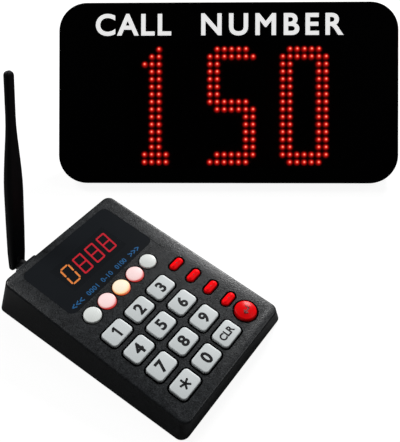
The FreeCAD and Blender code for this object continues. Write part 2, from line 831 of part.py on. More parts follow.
def keys():
    for row, names in enumerate(key_names()):
        for column, name in enumerate(names):
            x = "key_centre + (%d) * key_pitch_across" % (column - 1)
            y = "key_front + %d * key_pitch_along" % row

            def draw(sketch, grow, x=x, y=y):
                draw_rounded(sketch, "key_width + 2 * (%s)" % grow, "key_depth + 2 * (%s)" % grow,
                             "key_corner_radius + (%s)" % grow, x, y)

            pressed_button(name, draw, "key_proud", "key_edge_radius")


def function_buttons():
    for number in range(int(size["function_count"])):

        def draw(sketch, grow, x=function_place(number)):
            draw_circle(sketch, "function_radius + (%s)" % grow, x, "function_line")

        pressed_button("function_button_%d" % (number + 1), draw, "function_proud",
                       "function_edge_radius", "round_flange_reach")


def oval_buttons():
    for number in range(int(size["oval_count"])):

        def draw(sketch, grow, y="oval_rear - %d * oval_pitch" % number):
            draw_obround(sketch, "oval_length + 2 * (%s)" % grow, "oval_width + 2 * (%s)" % grow,
                         "oval_side", y)

        pressed_button("oval_button_%d" % (number + 1), draw, "oval_proud",
                       "oval_edge_radius")


def enter_button():
    """Turned cap with a low dome: one half profile spun about the button's axis."""
    body = new_body("enter_button")
    profile = new_sketch(body, "profile", plane="XZ_Plane",
                         offset=("enter_side", "0", "-enter_line"))
    low = "-(" + FLANGE_TOP + " + flange_thickness)"
    rim = "(enter_radius + button_gap + flange_reach)"
    corners = [("0", low), (rim, low), (rim, "-" + FLANGE_TOP), ("enter_radius", "-" + FLANGE_TOP),
               ("enter_radius", "enter_proud"), ("0", "enter_proud + enter_dome")]
    places = [Vector(value(x), value(y), 0) for x, y in corners]
    for start, end in zip(places[:4], places[1:5]):
        profile.addGeometry(Part.LineSegment(start, end), False)
    dome_radius = value("(enter_radius ^ 2 + enter_dome ^ 2) / (2 * enter_dome)")
    sweep = math.asin(size["enter_radius"] / dome_radius)
    circle = Part.Circle(places[5] - Vector(0, dome_radius, 0), UP, dome_radius)
    profile.addGeometry(Part.ArcOfCircle(circle, math.pi / 2 - sweep, math.pi / 2), False)
    profile.addGeometry(Part.LineSegment(places[5], places[0]), False)
    for before, corner, after, start in ((0, 2, 1, 1), (1, 2, 2, 1), (2, 2, 3, 1), (3, 2, 4, 1),
                                         (4, 2, 5, 1), (5, 2, 0, 1)):
        profile.addConstraint(Constraint("Coincident", before, corner, after, start))
    for number in range(4):
        pin_point(profile, number, 1, *corners[number])
    pin_point(profile, 3, 2, *corners[4])
    pin_point(profile, 5, 1, *corners[5])
    profile.addConstraint(Constraint("PointOnObject", 4, 3, -2))
    turned(body, profile, "V_Axis")
    return body


def digit_modules():
    """Seven-segment digit blocks on the board, faces just under the window."""
    top = -value(BOARD_TOP)
    for label, first, count in (("amber_digit_module", 0, 1),
                                ("red_digit_modules", 1, int(size["red_digits_count"]))):
        total = 1 + size["red_digits_count"]
        middle = first + (count - 1) / 2 - (total - 1) / 2
        block = solid_box(size["digit_pitch"] * count - size["digit_gap"],
                          size["digit_body_depth"], size["digit_body_height"],
                          middle * size["digit_pitch"], size["window_line"], top)
        feature_from(label, block)


def button_places():
    """Every button's centre on the deck."""
    for row in range(int(size["key_rows_count"])):
        for column in range(int(size["key_columns_count"])):
            yield (value("key_centre + (%d) * key_pitch_across" % (column - 1)),
                   value("key_front + %d * key_pitch_along" % row))
    for number in range(int(size["function_count"])):
        yield value(function_place(number)), size["function_line"]
    for number in range(int(size["oval_count"])):
        yield size["oval_side"], value("oval_rear - %d * oval_pitch" % number)
    yield size["enter_side"], size["enter_line"]


def main_board():
    """Circuit board that hangs from the posts under the deck."""
    body = new_body("main_board")
    face = new_sketch(body, "face", offset=("0", "0", "-" + BOARD_TOP))
    draw_outline(face, [("-main_board_width / 2", "main_board_front"),
                        ("main_board_width / 2", "main_board_front"),
                        ("main_board_width / 2", "main_board_back"),
                        ("-main_board_width / 2", "main_board_back")])
    pad(body, face, "circuit_thickness", reverse=True)
    holes = new_sketch(body, "holes", offset=("0", "0", "-" + BOARD_TOP))
    for side in ("-board_post_side", "board_post_side"):
        for line in board_post_lines():
            draw_circle(holes, "board_hole_radius", side, line)
    pocket(body, holes, "circuit_thickness + overrun")
    return body


def board_parts():
    """What is soldered to the main board."""
    top = -value(BOARD_TOP)
    plunger = value(BOARD_TOP + " - switch_height - " + PLUNGER_TOP)
    switches = []
    for x, y in button_places():
        body = solid_box(size["switch_side"], size["switch_side"], size["switch_height"], x, y, top)
        button = Part.makeCylinder(
            size["plunger_radius"], plunger, Vector(x, y, top + size["switch_height"]))
        switches.append(stack(body, button))
    feature_from("button_switches", Part.makeCompound(switches))
    lamps = []
    for number in range(int(size["function_count"])):
        lamps.append(solid_box(size["lamp_side"], size["lamp_side"], size["lamp_height"],
                               value(function_place(number)),
                               size["function_line"] + size["lamp_offset"], top))
    feature_from("button_lamps", Part.makeCompound(lamps))
    under = top - size["circuit_thickness"]
    side, line = size["radio_side"], size["radio_line"]
    radio = solid_box(size["radio_width"], size["radio_depth"], size["module_thickness"],
                      side, line, under - size["module_thickness"])
    can = solid_box(size["can_width"], size["can_depth"], size["can_height"],
                    side, line, under - size["module_thickness"] - size["can_height"])
    feature_from("radio_module", stack(radio, can))
    place = Vector(size["beeper_side"], size["beeper_line"], under)
    beeper = Part.makeCylinder(size["beeper_radius"], size["beeper_height"], place, -UP)
    port = Part.makeCylinder(size["beeper_port_radius"], size["beeper_height"] / 2,
                             place - UP * size["beeper_height"], UP)
    feature_from("beeper", beeper.cut(port))
    screws = []
    for side in (-size["board_post_side"], size["board_post_side"]):
        for line in board_post_lines():
            foot = Vector(side, value(line), under)
            head = Part.makeCylinder(size["board_screw_head_radius"],
                                     size["board_screw_head_height"], foot, -UP)
            shank = Part.makeCylinder(
                size["board_screw_radius"], size["board_screw_length"], foot, UP)
            screws.append(stack(head, shank))
    feature_from("board_screws", Part.makeCompound(screws))


def case_hardware():
    """Four screws from below and four rubber feet."""
    screws = []
    feet = []
    for side in (-1, 1):
        for line in ("post_front", "post_back"):
            foot = Vector(side * size["post_side"], size[line], size["counterbore_depth"])
            head = Part.makeCylinder(
                size["screw_head_radius"], size["screw_head_height"], foot, -UP)
            shank = Part.makeCylinder(size["screw_radius"], size["screw_length"], foot, UP)
            screws.append(stack(head, shank))
        for line in ("foot_front", "foot_back"):
            place = Vector(side * size["foot_side"], size[line], -size["foot_height"])
            disc = Part.makeCylinder(size["foot_radius"], size["foot_height"], place)
            feet.append(disc)
    feature_from("case_screws", Part.makeCompound(screws))
    feature_from("keypad_feet", Part.makeCompound(feet))


def socket_solid(nose_length, body_length):
    """Socket along +Z: the body from zero upward, the nose below it, mouth at the bottom."""
    depth = min(size["socket_depth"], nose_length + body_length - size["socket_floor"])
    body = solid_box(size["socket_body"], size["socket_body"], body_length, 0, 0, 0)
    nose = Part.makeCylinder(
        size["socket_nose_radius"], nose_length, Vector(0, 0, -nose_length))
    mouth = Part.makeCylinder(size["socket_radius"], depth, Vector(0, 0, -nose_length))
    pin = Part.makeCylinder(size["socket_pin_radius"], depth - size["socket_pin_setback"],
                            Vector(0, 0, size["socket_pin_setback"] - nose_length))
    return stack(body, nose).cut(mouth).fuse(pin).removeSplitter()


def keypad_inlet():
    """Power inlet behind its land, mouth facing back."""
    shape = socket_solid(size["land_thickness"] - size["seat_gap"], size["socket_body_length"])
    feature_from("keypad_power_jack", shape)


def antenna_jack():
    """Threaded jack through the land: inner flange, barrel and core hole, turned about Y."""
    body = new_body("antenna_jack")
    profile = new_sketch(body, "profile")
    inner = "-(hinge_setback + land_thickness)"
    back = "-(hinge_setback + land_thickness + jack_flange_thickness)"
    mouth = "-(hinge_setback - jack_reach)"
    draw_outline(profile, [("jack_core_radius", back), ("jack_flange_radius", back),
                           ("jack_flange_radius", inner), ("jack_radius", inner),
                           ("jack_radius", mouth), ("jack_core_radius", mouth)])
    turned(body, profile, "V_Axis")
    return body


def turned(body, sketch, axis):
    feature = body.newObject("PartDesign::Revolution", sketch.Name + "_Turned")
    feature.Profile = sketch
    feature.ReferenceAxis = (sketch, [axis])
    sketch.Visibility = False
    return feature


def jack_nut():
    """Hexagon nut that clamps the jack to its land."""
    body = new_body("jack_nut")
    face = new_sketch(body, "face", plane="XZ_Plane",
                      offset=("0", "0", "hinge_setback - nut_thickness"))
    corners = []
    for number in range(6):
        corners.append(("nut_across / sqrt(3) * cos(%d)" % (60 * number + 15),
                        "nut_across / sqrt(3) * sin(%d)" % (60 * number + 15)))
    draw_outline(face, corners)
    draw_circle(face, "jack_radius + swivel_gap")
    pad(body, face, "nut_thickness")
    return body


def antenna_knuckle():
    """Collar that turns on the jack, with the tongue of the fold hinge."""
    body = new_body("antenna_knuckle")
    tongue = new_sketch(body, "tongue", plane="YZ_Plane")
    draw_obround(tongue, "collar_front + 2 * tongue_radius", "2 * tongue_radius",
                 "-collar_front / 2")
    pad(body, tongue, "2 * tongue_half", both_ways=True)
    collar = new_sketch(body, "collar", plane="XZ_Plane", offset=("0", "0", "collar_front"))
    draw_circle(collar, "collar_radius")
    pad(body, collar, "hinge_setback - nut_thickness - nut_gap - collar_front")
    bore = new_sketch(body, "bore", plane="XZ_Plane",
                      offset=("0", "0", "collar_front + collar_wall"))
    draw_circle(bore, "jack_radius + swivel_gap")
    pocket(body, bore, "hinge_setback + overrun", reverse=True)
    eye = new_sketch(body, "eye", plane="YZ_Plane")
    draw_circle(eye, "pin_radius + swivel_gap")
    pocket(body, eye, "2 * tongue_half + overrun", both_ways=True)
    return body


def antenna_whip():
    """Paddle antenna lofted through rounded sections, with a fork at its lower end."""
    body = new_body("antenna_whip")
    for name, shares in (("section", WHIP_SHARES), ("tip", TIP_SHARES)):
        sections = []
        for number, (share, width_share, thickness_share) in enumerate(shares):
            level = "whip_length * %s - whip_below" % share
            section = new_sketch(body, "%s_%d" % (name, number), offset=("0", "0", level))
            draw_rounded(section, "whip_width * %s" % width_share,
                         "whip_thickness * %s" % thickness_share,
                         "whip_corner_radius * %s" % min(width_share, thickness_share))
            sections.append(section)
        loft(body, "AdditiveLoft", sections, ruled=True)
    fork = new_sketch(body, "fork", plane="XZ_Plane")
    draw_outline(fork, [("-fork_half", "-(whip_below + overrun)"),
                        ("fork_half", "-(whip_below + overrun)"),
                        ("fork_half", "fork_depth"), ("-fork_half", "fork_depth")])
    pocket(body, fork, "2 * whip_thickness", both_ways=True)
    heel = new_sketch(body, "heel", plane="YZ_Plane")
    round_end = Part.Circle(Vector(), UP, size["whip_below"])
    arc = Part.ArcOfCircle(round_end, math.pi, 2 * math.pi)
    heel.addGeometry(arc, False)
    corners = [("whip_below", "0"), ("whip_below + overrun", "0"),
               ("whip_below + overrun", "-(whip_below + overrun)"),
               ("-(whip_below + overrun)", "-(whip_below + overrun)"),
               ("-(whip_below + overrun)", "0"), ("-whip_below", "0")]
    places = [Vector(value(x), value(y), 0) for x, y in corners]
    for start, end in zip(places, places[1:]):
        heel.addGeometry(Part.LineSegment(start, end), False)
    for number in range(5):
        heel.addConstraint(Constraint("Coincident", number, 2, number + 1, 1))
    heel.addConstraint(Constraint("Coincident", 5, 2, 0, 1))
    heel.addConstraint(Constraint("Coincident", 0, 3, -1, 1))
    for number, (x, y) in enumerate(corners[:5]):
        pin_point(heel, number + 1, 1, x, y)
    heel.addConstraint(Constraint("PointOnObject", 0, 1, -1))
    pocket(body, heel, "2 * whip_width", both_ways=True)
    eye = new_sketch(body, "eye", plane="YZ_Plane")
    draw_circle(eye, "pin_radius + pin_fit")
    pocket(body, eye, "2 * whip_width", both_ways=True)
    return body


def cross_pin(label, radius, length):
    """A plain pin along X, centred on its frame."""
    pin = primitive("Cylinder", label, "solid", Radius=radius, Height=length)
    pin.Label = label
    nodes[label] = pin


def display_window():
    """Full-face dark sheet with rounded corners."""
    body = new_body("display_window")
    face = new_sketch(body, "face")
    draw_rounded(face, "display_width", "display_height", "display_corner_radius",
                 "0", "display_height / 2")
    pad(body, face, "sheet_thickness", reverse=True)
    round_face(body, UP, "sheet_edge_radius")
    return body


def drafted_block(body, inset, front, depth, facet):
    """A drafted block with round corners whose lower back edge is cut by a facet level
    with the desk."""
    rim = new_sketch(body, "rim", offset=("0", "0", "-(%s)" % front))
    draw_rounded(rim, "display_width - 2 * (%s)" % inset, "display_height - 2 * (%s)" % inset,
                 "display_corner_radius - (%s)" % inset, "0", "display_height / 2")
    pad(body, rim, "(%s) - (%s)" % (depth, front), reverse=True, taper="-display_draft")
    cut = new_sketch(body, "facet", plane="YZ_Plane")
    reach = "(((%s) - (%s) + overrun) / tan(display_recline))" % (depth, facet)
    low = "-((%s) + overrun)" % depth
    draw_outline(cut, [("-overrun", "overrun * tan(display_recline) - (%s)" % facet),
                       (reach, low), ("-overrun", low)])
    pocket(body, cut, "display_width + overrun", both_ways=True)


def display_case():
    """Moulded back shell with a level foot facet, board posts, hinge lugs and keyholes."""
    body = new_body("display_case")
    drafted_block(body, "case_inset", "sheet_thickness", "display_depth", "facet_start")
    cavity = doc.addObject("PartDesign::Body", "Display_cavity")
    drafted_block(cavity, "case_inset + display_wall", "sheet_thickness - display_wall / 2",
                  CASE_FLOOR, "facet_start - display_wall / cos(display_recline)")
    settled(cavity)
    hollow = body.newObject("PartDesign::Boolean", "Display_hollow")
    hollow.Type = "Cut"
    hollow.setObjects([cavity])
    settled(body)
    board_supports(body)
    hinge_lugs(body)
    back_openings(body)
    return body


def dot_post_places():
    """Screw places of the dot board, in the gaps between its digits."""
    columns = int(size["dot_post_columns_count"])
    for line in ("dot_board_bottom + dot_post_inset",
                 "dot_board_bottom + dot_board_height - dot_post_inset"):
        for number in range(columns):
            yield "dot_field_shift + (%s) * dot_digit_pitch" % (number - (columns - 1) / 2), line


def control_post_places():
    for side in ("-", "+"):
        for way in ("-", "+"):
            yield ("control_side %s (control_width / 2 - control_post_inset)" % side,
                   "control_line %s (control_height / 2 - control_post_inset)" % way)


def board_supports(body):
    """Posts for the dot board and lower ones for the control board."""
    posts = new_sketch(body, "dot_posts", offset=("0", "0", "-" + DOT_BOARD_BACK))
    bores = new_sketch(body, "dot_bores", offset=("0", "0", "-" + DOT_BOARD_BACK))
    for x, y in dot_post_places():
        draw_circle(posts, "dot_post_radius", x, y)
        draw_circle(bores, "board_bore_radius", x, y)
    pad(body, posts, CASE_FLOOR + " - " + DOT_BOARD_BACK + " + display_wall / 2", reverse=True)
    low = new_sketch(body, "control_posts",
                     offset=("0", "0", "control_standoff - " + CASE_FLOOR))
    low_bores = new_sketch(body, "control_bores",
                           offset=("0", "0", "control_standoff - " + CASE_FLOOR))
    for x, y in control_post_places():
        draw_circle(low, "board_post_radius", x, y)
        draw_circle(low_bores, "board_bore_radius", x, y)
    pad(body, low, "control_standoff + display_wall / 2", reverse=True)
    pocket(body, bores, "board_screw_length - circuit_thickness")
    pocket(body, low_bores, "board_screw_length - circuit_thickness")


def hinge_lugs(body):
    """Two lugs on the back that carry the leg's pin."""
    lug = new_sketch(body, "lug", plane="YZ_Plane",
                     offset=("0", "0", LUG_INNER))
    root = "-(display_depth - display_wall / 2)"
    draw_outline(lug, [("hinge_line - lug_root", root), ("hinge_line - lug_radius", "-hinge_out"),
                       ("hinge_line + lug_radius", "-hinge_out"),
                       ("hinge_line + lug_root", root)])
    first = pad(body, lug, "lug_thickness")
    nose = new_sketch(body, "lug_nose", plane="YZ_Plane",
                      offset=("0", "0", LUG_INNER))
    draw_circle(nose, "lug_radius", "hinge_line", "-hinge_out")
    second = pad(body, nose, "lug_thickness")
    mirror = body.newObject("PartDesign::Mirrored", "Lugs_mirrored")
    mirror.Originals = [first, second]
    mirror.MirrorPlane = ([item for item in body.Origin.OriginFeatures
                           if item.Role == "YZ_Plane"][0], [""])
    body.Tip = mirror
    eye = new_sketch(body, "lug_eyes", plane="YZ_Plane")
    draw_circle(eye, "leg_pin_radius + pin_fit", "hinge_line", "-hinge_out")
    pocket(body, eye, "2 * (" + LUG_INNER + " + lug_thickness + overrun)", both_ways=True)


def back_openings(body):
    """Keyholes, cooling slots and the power inlet's hole in the back."""
    outside = ("0", "0", "-(display_depth + overrun)")
    depth = "display_wall + 2 * overrun"
    holes = new_sketch(body, "keyholes", offset=outside)
    slots = new_sketch(body, "keyhole_slots", offset=outside)
    for side in ("-keyhole_side", "keyhole_side"):
        draw_circle(holes, "keyhole_radius", side, "keyhole_line")
        draw_obround(slots, "keyhole_slot_length + 2 * keyhole_slot_radius",
                     "2 * keyhole_slot_radius", side,
                     "keyhole_line + keyhole_slot_length / 2", upright=True)
    pocket(body, holes, depth, reverse=True)
    pocket(body, slots, depth, reverse=True)
    vents = new_sketch(body, "vents", offset=outside)
    draw_obround(vents, "slot_length", "slot_width", "slot_side", "slot_line", upright=True)
    cut = pocket(body, vents, depth, reverse=True)
    repeat(body, cut, "slot_pitch", "slots_count")
    inlet = new_sketch(body, "inlet_hole", offset=outside)
    draw_circle(inlet, "socket_nose_radius + socket_hole_gap", "control_side + inlet_shift",
                "control_line")
    pocket(body, inlet, depth, reverse=True)


def circuit(label, width, height, x, y, back, holes):
    """A circuit board as a rectangle with screw holes, its back on a given depth."""
    body = new_body(label)
    face = new_sketch(body, "face", offset=("0", "0", "-(%s)" % back))
    draw_outline(face, [("(%s) - (%s) / 2" % (x, width), "(%s) - (%s) / 2" % (y, height)),
                        ("(%s) + (%s) / 2" % (x, width), "(%s) - (%s) / 2" % (y, height)),
                        ("(%s) + (%s) / 2" % (x, width), "(%s) + (%s) / 2" % (y, height)),
                        ("(%s) - (%s) / 2" % (x, width), "(%s) + (%s) / 2" % (y, height))])
    for hole_x, hole_y in holes:
        draw_circle(face, "board_hole_radius", hole_x, hole_y)
    pad(body, face, "circuit_thickness")
    return body


def board_screw_set(places, front):
    """Small pan-head screws whose heads sit on a board's front."""
    screws = []
    for x, y in places:
        foot = Vector(value(x), value(y), front)
        head = Part.makeCylinder(
            size["board_screw_head_radius"], size["board_screw_head_height"], foot, UP)
        shank = Part.makeCylinder(
            size["board_screw_radius"], size["board_screw_length"] - size["press_gap"], foot, -UP)
        screws.append(stack(head, shank))
    return screws


def dots():
    """Lamps of the three digits, lit ones and dark ones apart."""
    lit = []
    dark = []
    columns = int(size["dot_columns_count"])
    rows = int(size["dot_rows_count"])
    base = -value(DOT_BOARD_BACK + " - circuit_thickness")
    for digit, pattern in enumerate(DIGIT_DOTS):
        middle = size["dot_field_shift"] + (digit - 1) * size["dot_digit_pitch"]
        for row in range(rows):
            y = size["dot_bottom"] + (rows - 1 - row) * size["dot_pitch_along"]
            for column in range(columns):
                x = middle + (column - (columns - 1) / 2) * size["dot_pitch_across"]
                shape = hexagon_lamp(x, y, base)
                (lit if pattern[row][column] == "#" else dark).append(shape)
    feature_from("lit_dots", Part.makeCompound(lit))
    feature_from("dark_dots", Part.makeCompound(dark))


def hexagon_lamp(x, y, base):
    """A lamp as a six-sided prism that fills its round lens."""
    points = []
    for number in range(7):
        angle = math.radians(60 * number)
        points.append(Vector(x + size["dot_radius"] * math.cos(angle),
                             y + size["dot_radius"] * math.sin(angle), base))
    return Part.Face(Part.makePolygon(points)).extrude(UP * size["dot_height"])


def display_boards():
    circuit("dot_board", "dot_board_width", "dot_board_height", "dot_field_shift",
            "dot_board_bottom + dot_board_height / 2", DOT_BOARD_BACK, list(dot_post_places()))
    circuit("control_board", "control_width", "control_height", "control_side", "control_line",
            CASE_FLOOR + " - control_standoff", list(control_post_places()))
    dot_front = -value(DOT_BOARD_BACK + " - circuit_thickness")
    control_front = value("control_standoff + circuit_thickness - " + CASE_FLOOR)
    screws = board_screw_set(dot_post_places(), dot_front)
    feature_from("dot_board_screws", Part.makeCompound(screws))
    screws = board_screw_set(control_post_places(), control_front)
    feature_from("control_board_screws", Part.makeCompound(screws))
    x = size["control_side"] - size["receiver_shift"]
    module = solid_box(size["receiver_width"], size["receiver_depth"], size["module_thickness"],
                       x, size["control_line"], control_front)
    can = solid_box(size["can_width"], size["can_width"], size["can_height"],
                    x, size["control_line"], control_front + size["module_thickness"])
    feature_from("receiver_module", stack(module, can))


def display_inlet():
    """Power inlet on the control board's back, mouth through the case's back."""
    shape = socket_solid(size["display_wall"] - size["seat_gap"], size["control_standoff"])
    feature_from("display_power_jack", shape)


def display_feet():
    """Two rubber pads under the level facet."""
    pads = []
    for side in (-1, 1):
        pads.append(solid_box(
            size["board_foot_length"], size["board_foot_width"], size["board_foot_height"],
            side * size["board_foot_side"],
            size["board_foot_setback"] + size["board_foot_width"] / 2,
            -size["board_foot_height"]))
    feature_from("display_feet", Part.makeCompound(pads))


def leg_end(offset, rise):
    """Height in the leg's frame of a level line a given rise above the desk, off the plate."""
    return "-(%s - (%s)) / cos(leg_splay) - (%s) * tan(leg_splay)" % (LEG_RISE, rise, offset)


def heel_end(offset):
    """Where the leg's heel meets the case's back and so stops the leg."""
    return ("((hinge_out - display_depth) + (%s) * sin(display_recline - leg_splay))"
            " / cos(display_recline - leg_splay)" % offset)


def stand_leg():
    """Fold-out leg: a plate with a window, a barrel for the pin and a heel that stops it."""
    body = new_body("stand_leg")
    barrel = new_sketch(body, "barrel", plane="YZ_Plane")
    draw_circle(barrel, "leg_barrel_radius")
    pad(body, barrel, "leg_width", both_ways=True)
    plate = new_sketch(body, "plate", plane="YZ_Plane")
    half = "leg_thickness / 2"
    draw_outline(plate, [("-" + half, heel_end("-" + half)),
                         ("-" + half, leg_end("-" + half, "tip_height")),
                         (half, leg_end(half, "tip_height")), (half, heel_end(half))])
    pad(body, plate, "leg_width", both_ways=True)
    window = new_sketch(body, "window", plane="XZ_Plane")
    height = "(" + LEG_RISE + " / cos(leg_splay) - tip_height - 2 * leg_window_inset)"
    draw_rounded(window, "leg_width - 2 * leg_window_inset", height, "leg_window_radius", "0",
                 "-(leg_window_inset + %s / 2)" % height)
    pocket(body, window, "leg_thickness + overrun", both_ways=True)
    eye = new_sketch(body, "eye", plane="YZ_Plane")
    draw_circle(eye, "leg_pin_radius + leg_pin_gap")
    pocket(body, eye, "leg_width + overrun", both_ways=True)
    return body


def stand_tip():
    """Rubber strip under the leg, level with the desk."""
    body = new_body("stand_tip")
    strip = new_sketch(body, "strip", plane="YZ_Plane")
    half = "tip_thickness / 2"
    draw_outline(strip, [("-" + half, leg_end("-" + half, "0")), (half, leg_end(half, "0")),
                         (half, leg_end(half, "tip_height")),
                         ("-" + half, leg_end("-" + half, "tip_height"))])
    pad(body, strip, "leg_width", both_ways=True)
    return body


keypad_top_case()
keypad_bottom_case()
keypad_window()
keys()
function_buttons()
oval_buttons()
enter_button()
digit_modules()
main_board()
board_parts()
case_hardware()
keypad_inlet()
antenna_jack()
jack_nut()
antenna_knuckle()
antenna_whip()
cross_pin("antenna_hinge_pin", "pin_radius", "pin_length")
display_window()
display_case()
dots()
display_boards()
display_inlet()
display_feet()
stand_leg()
stand_tip()
cross_pin("stand_hinge_pin", "leg_pin_radius", LEG_PIN_LENGTH)
doc.recompute()

# The frame of each piece
KEYPAD_NODES = ("keypad_top_case", "keypad_bottom_case", "case_screws", "keypad_feet")
HINGE_NODES = ("antenna_knuckle", "antenna_whip")
DISPLAY_NODES = ("display_window", "display_case", "lit_dots", "dark_dots", "dot_board",
                 "control_board", "dot_board_screws", "control_board_screws", "receiver_module")


def across(length):
    """A cylinder's own frame turned to lie along X and centred."""
    return Placement(Vector(-length / 2, 0, 0), Rotation(Vector(0, 1, 0), 90))


def frame_of(label):
    if label in KEYPAD_NODES:
        return FRAME_KEYPAD
    if label in HINGE_NODES:
        return FRAME_HINGE
    if label in DISPLAY_NODES:
        return FRAME_DISPLAY
    special = {
        "antenna_jack": FRAME_HINGE,
        "jack_nut": FRAME_HINGE,
        "antenna_hinge_pin": FRAME_HINGE * across(size["pin_length"]),
        "stand_leg": FRAME_LEG,
        "stand_tip": FRAME_LEG,
        "stand_hinge_pin": FRAME_LEG * across(value(LEG_PIN_LENGTH)),
        "display_feet": FRAME_FACET,
        "display_power_jack": FRAME_DISPLAY * Placement(
            Vector(value("control_side + inlet_shift"), size["control_line"],
                   -value(CASE_FLOOR)), Rotation()),
        "keypad_power_jack": FRAME_KEYPAD * Placement(
            Vector(size["inlet_side"], value("land_back - land_thickness"),
                   size["inlet_height"]), Rotation(SIDE, 90)),
    }
    return special.get(label, FRAME_DECK)


for label, item in nodes.items():
    item.Placement = frame_of(label)
doc.recompute()

# Origin at the middle of the footprint, on the desk
whole = FreeCAD.BoundBox()
for item in nodes.values():
    whole.add(item.Shape.optimalBoundingBox())
shift = Placement(Vector(-whole.Center.x, -whole.Center.y, 0), Rotation())
for item in nodes.values():
    item.Placement = shift * item.Placement
doc.recompute()

for item in doc.Objects:
    if "Invalid" in item.State or "Error" in item.State:
        raise RuntimeError("failed: " + item.Name)
os.makedirs("parts", exist_ok=True)
for label, item in nodes.items():
    if item.Shape.isNull() or not item.Shape.isValid():
        raise RuntimeError("no valid shape: " + label)
    item.Shape.exportStep("parts/" + label + ".step")
print("pieces", len(nodes), "footprint centre", whole.Center.x, whole.Center.y,
      "size", whole.XLength, whole.YLength, whole.ZLength)
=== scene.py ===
# %% [markdown]
# Queue keypad and its number board
#
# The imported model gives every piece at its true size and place. This file gives them their looks:
# moulded plastic, smoked sheets, lit lamps and printed marks. Each step says what the real piece is
# like and why it is made the way it is.

# %% Load the frame
import json
from math import cos, pi, radians, sin

import bmesh
import bpy
from mathutils import Matrix, Vector

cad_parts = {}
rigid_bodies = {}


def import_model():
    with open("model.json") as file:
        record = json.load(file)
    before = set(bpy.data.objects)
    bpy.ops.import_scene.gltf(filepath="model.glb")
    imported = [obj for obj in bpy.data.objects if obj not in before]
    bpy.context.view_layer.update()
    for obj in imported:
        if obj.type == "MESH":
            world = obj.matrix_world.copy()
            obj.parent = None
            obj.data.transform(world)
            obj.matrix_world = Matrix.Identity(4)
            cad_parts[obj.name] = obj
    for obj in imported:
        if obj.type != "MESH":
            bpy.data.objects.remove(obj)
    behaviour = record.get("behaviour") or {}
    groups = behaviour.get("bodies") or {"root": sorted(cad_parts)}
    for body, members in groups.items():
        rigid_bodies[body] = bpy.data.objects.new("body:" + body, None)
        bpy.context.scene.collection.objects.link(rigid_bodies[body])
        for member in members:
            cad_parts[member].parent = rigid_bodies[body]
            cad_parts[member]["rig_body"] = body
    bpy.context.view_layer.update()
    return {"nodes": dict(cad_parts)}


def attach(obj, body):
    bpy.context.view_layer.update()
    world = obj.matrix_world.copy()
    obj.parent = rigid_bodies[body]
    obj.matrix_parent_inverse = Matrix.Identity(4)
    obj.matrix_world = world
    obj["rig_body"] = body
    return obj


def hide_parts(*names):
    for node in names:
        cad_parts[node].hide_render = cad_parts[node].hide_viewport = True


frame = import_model()

# %% [markdown]
# Three working frames. The keypad is turned on the desk, its deck slopes up towards the back, and
# the number board leans back on its leg. A piece is easiest to draw flat, in millimetres, with the
# surface it belongs to at height zero. One matrix then puts it in place.

# %% Working frames
MM = 0.001
STAND = Vector((0.0131776, -0.1329551, 0.0))
KEYPAD_BASE, DECK_EDGE = Vector((0, 0, 0.0015)), Vector((0, 0, 0.0144))
BOARD_EDGE = Vector((-0.0031, 0.1802, 0.0085198))
KEYPAD_TURN, DECK_SLOPE, BOARD_LEAN = radians(54.45), radians(7.39), radians(43.58)
KEYPAD = Matrix.Translation(STAND + KEYPAD_BASE) @ Matrix.Rotation(KEYPAD_TURN, 4, "Z")
DECK = KEYPAD @ Matrix.Translation(DECK_EDGE) @ Matrix.Rotation(DECK_SLOPE, 4, "X")
BOARD = Matrix.Translation(STAND + BOARD_EDGE) @ Matrix.Rotation(BOARD_LEAN, 4, "X")


def at(frame_matrix, x, y, z=0.0):
    """A place given in millimetres in a working frame, ready for a mesh drawn in millimetres."""
    return frame_matrix @ Matrix.Translation(Vector((x, y, z)) * MM) @ Matrix.Scale(MM, 4)


print("deck origin", tuple(round(c, 4) for c in DECK.translation))

# %% [markdown]
# The camera stands where the photographer's did: 46 degrees above the desk, straight in front of
# the number board, which is why the board looks square while the keypad is seen from a corner.

# %% Camera
CAMERA_PLACE = (-0.00315, -0.32668, 0.35249)
CAMERA_PAN, CAMERA_DOWN, CAMERA_ROLL = 1.733, 46.338, -1.085
camera_data = bpy.data.cameras.new("Camera")
camera_data.sensor_fit = "VERTICAL"
camera_data.sensor_height = 36.0
camera_data.lens = 47.41
camera_data.clip_start = 0.01
camera = bpy.data.objects.new("Camera", camera_data)
bpy.context.scene.collection.objects.link(camera)
camera.matrix_world = (Matrix.Translation(CAMERA_PLACE)
                       @ Matrix.Rotation(radians(CAMERA_PAN), 4, "Z")
                       @ Matrix.Rotation(radians(90 - CAMERA_DOWN), 4, "X")
                       @ Matrix.Rotation(radians(CAMERA_ROLL), 4, "Z"))
bpy.context.scene.camera = camera
print("lens", camera_data.lens)

# %% [markdown]
# Moulded plastic is never one flat colour. The tool is spark-eroded, which leaves a fine pebbled
# grain, and hands leave faint smudges that change the gloss. Both effects are wanted on many
# materials, so each is a node group with its own dials, built once. The grain comes first: pebbles
# and two noises are added up, and what is above or below their mean changes colour and gloss.

# %% Node group: pebbled grain of a moulding
def new_group(name, inputs, outputs):
    """A shader node group with float, colour or vector sockets; returns the tree and its ends."""
    tree = bpy.data.node_groups.new(name, "ShaderNodeTree")
    kinds = {"c": "NodeSocketColor", "f": "NodeSocketFloat", "v": "NodeSocketVector"}
    for label, kind, default in inputs:
        socket = tree.interface.new_socket(label, in_out="INPUT", socket_type=kinds[kind])
        socket.default_value = default
    for label, kind in outputs:
        tree.interface.new_socket(label, in_out="OUTPUT", socket_type=kinds[kind])
    return tree, tree.nodes.new("NodeGroupInput"), tree.nodes.new("NodeGroupOutput")


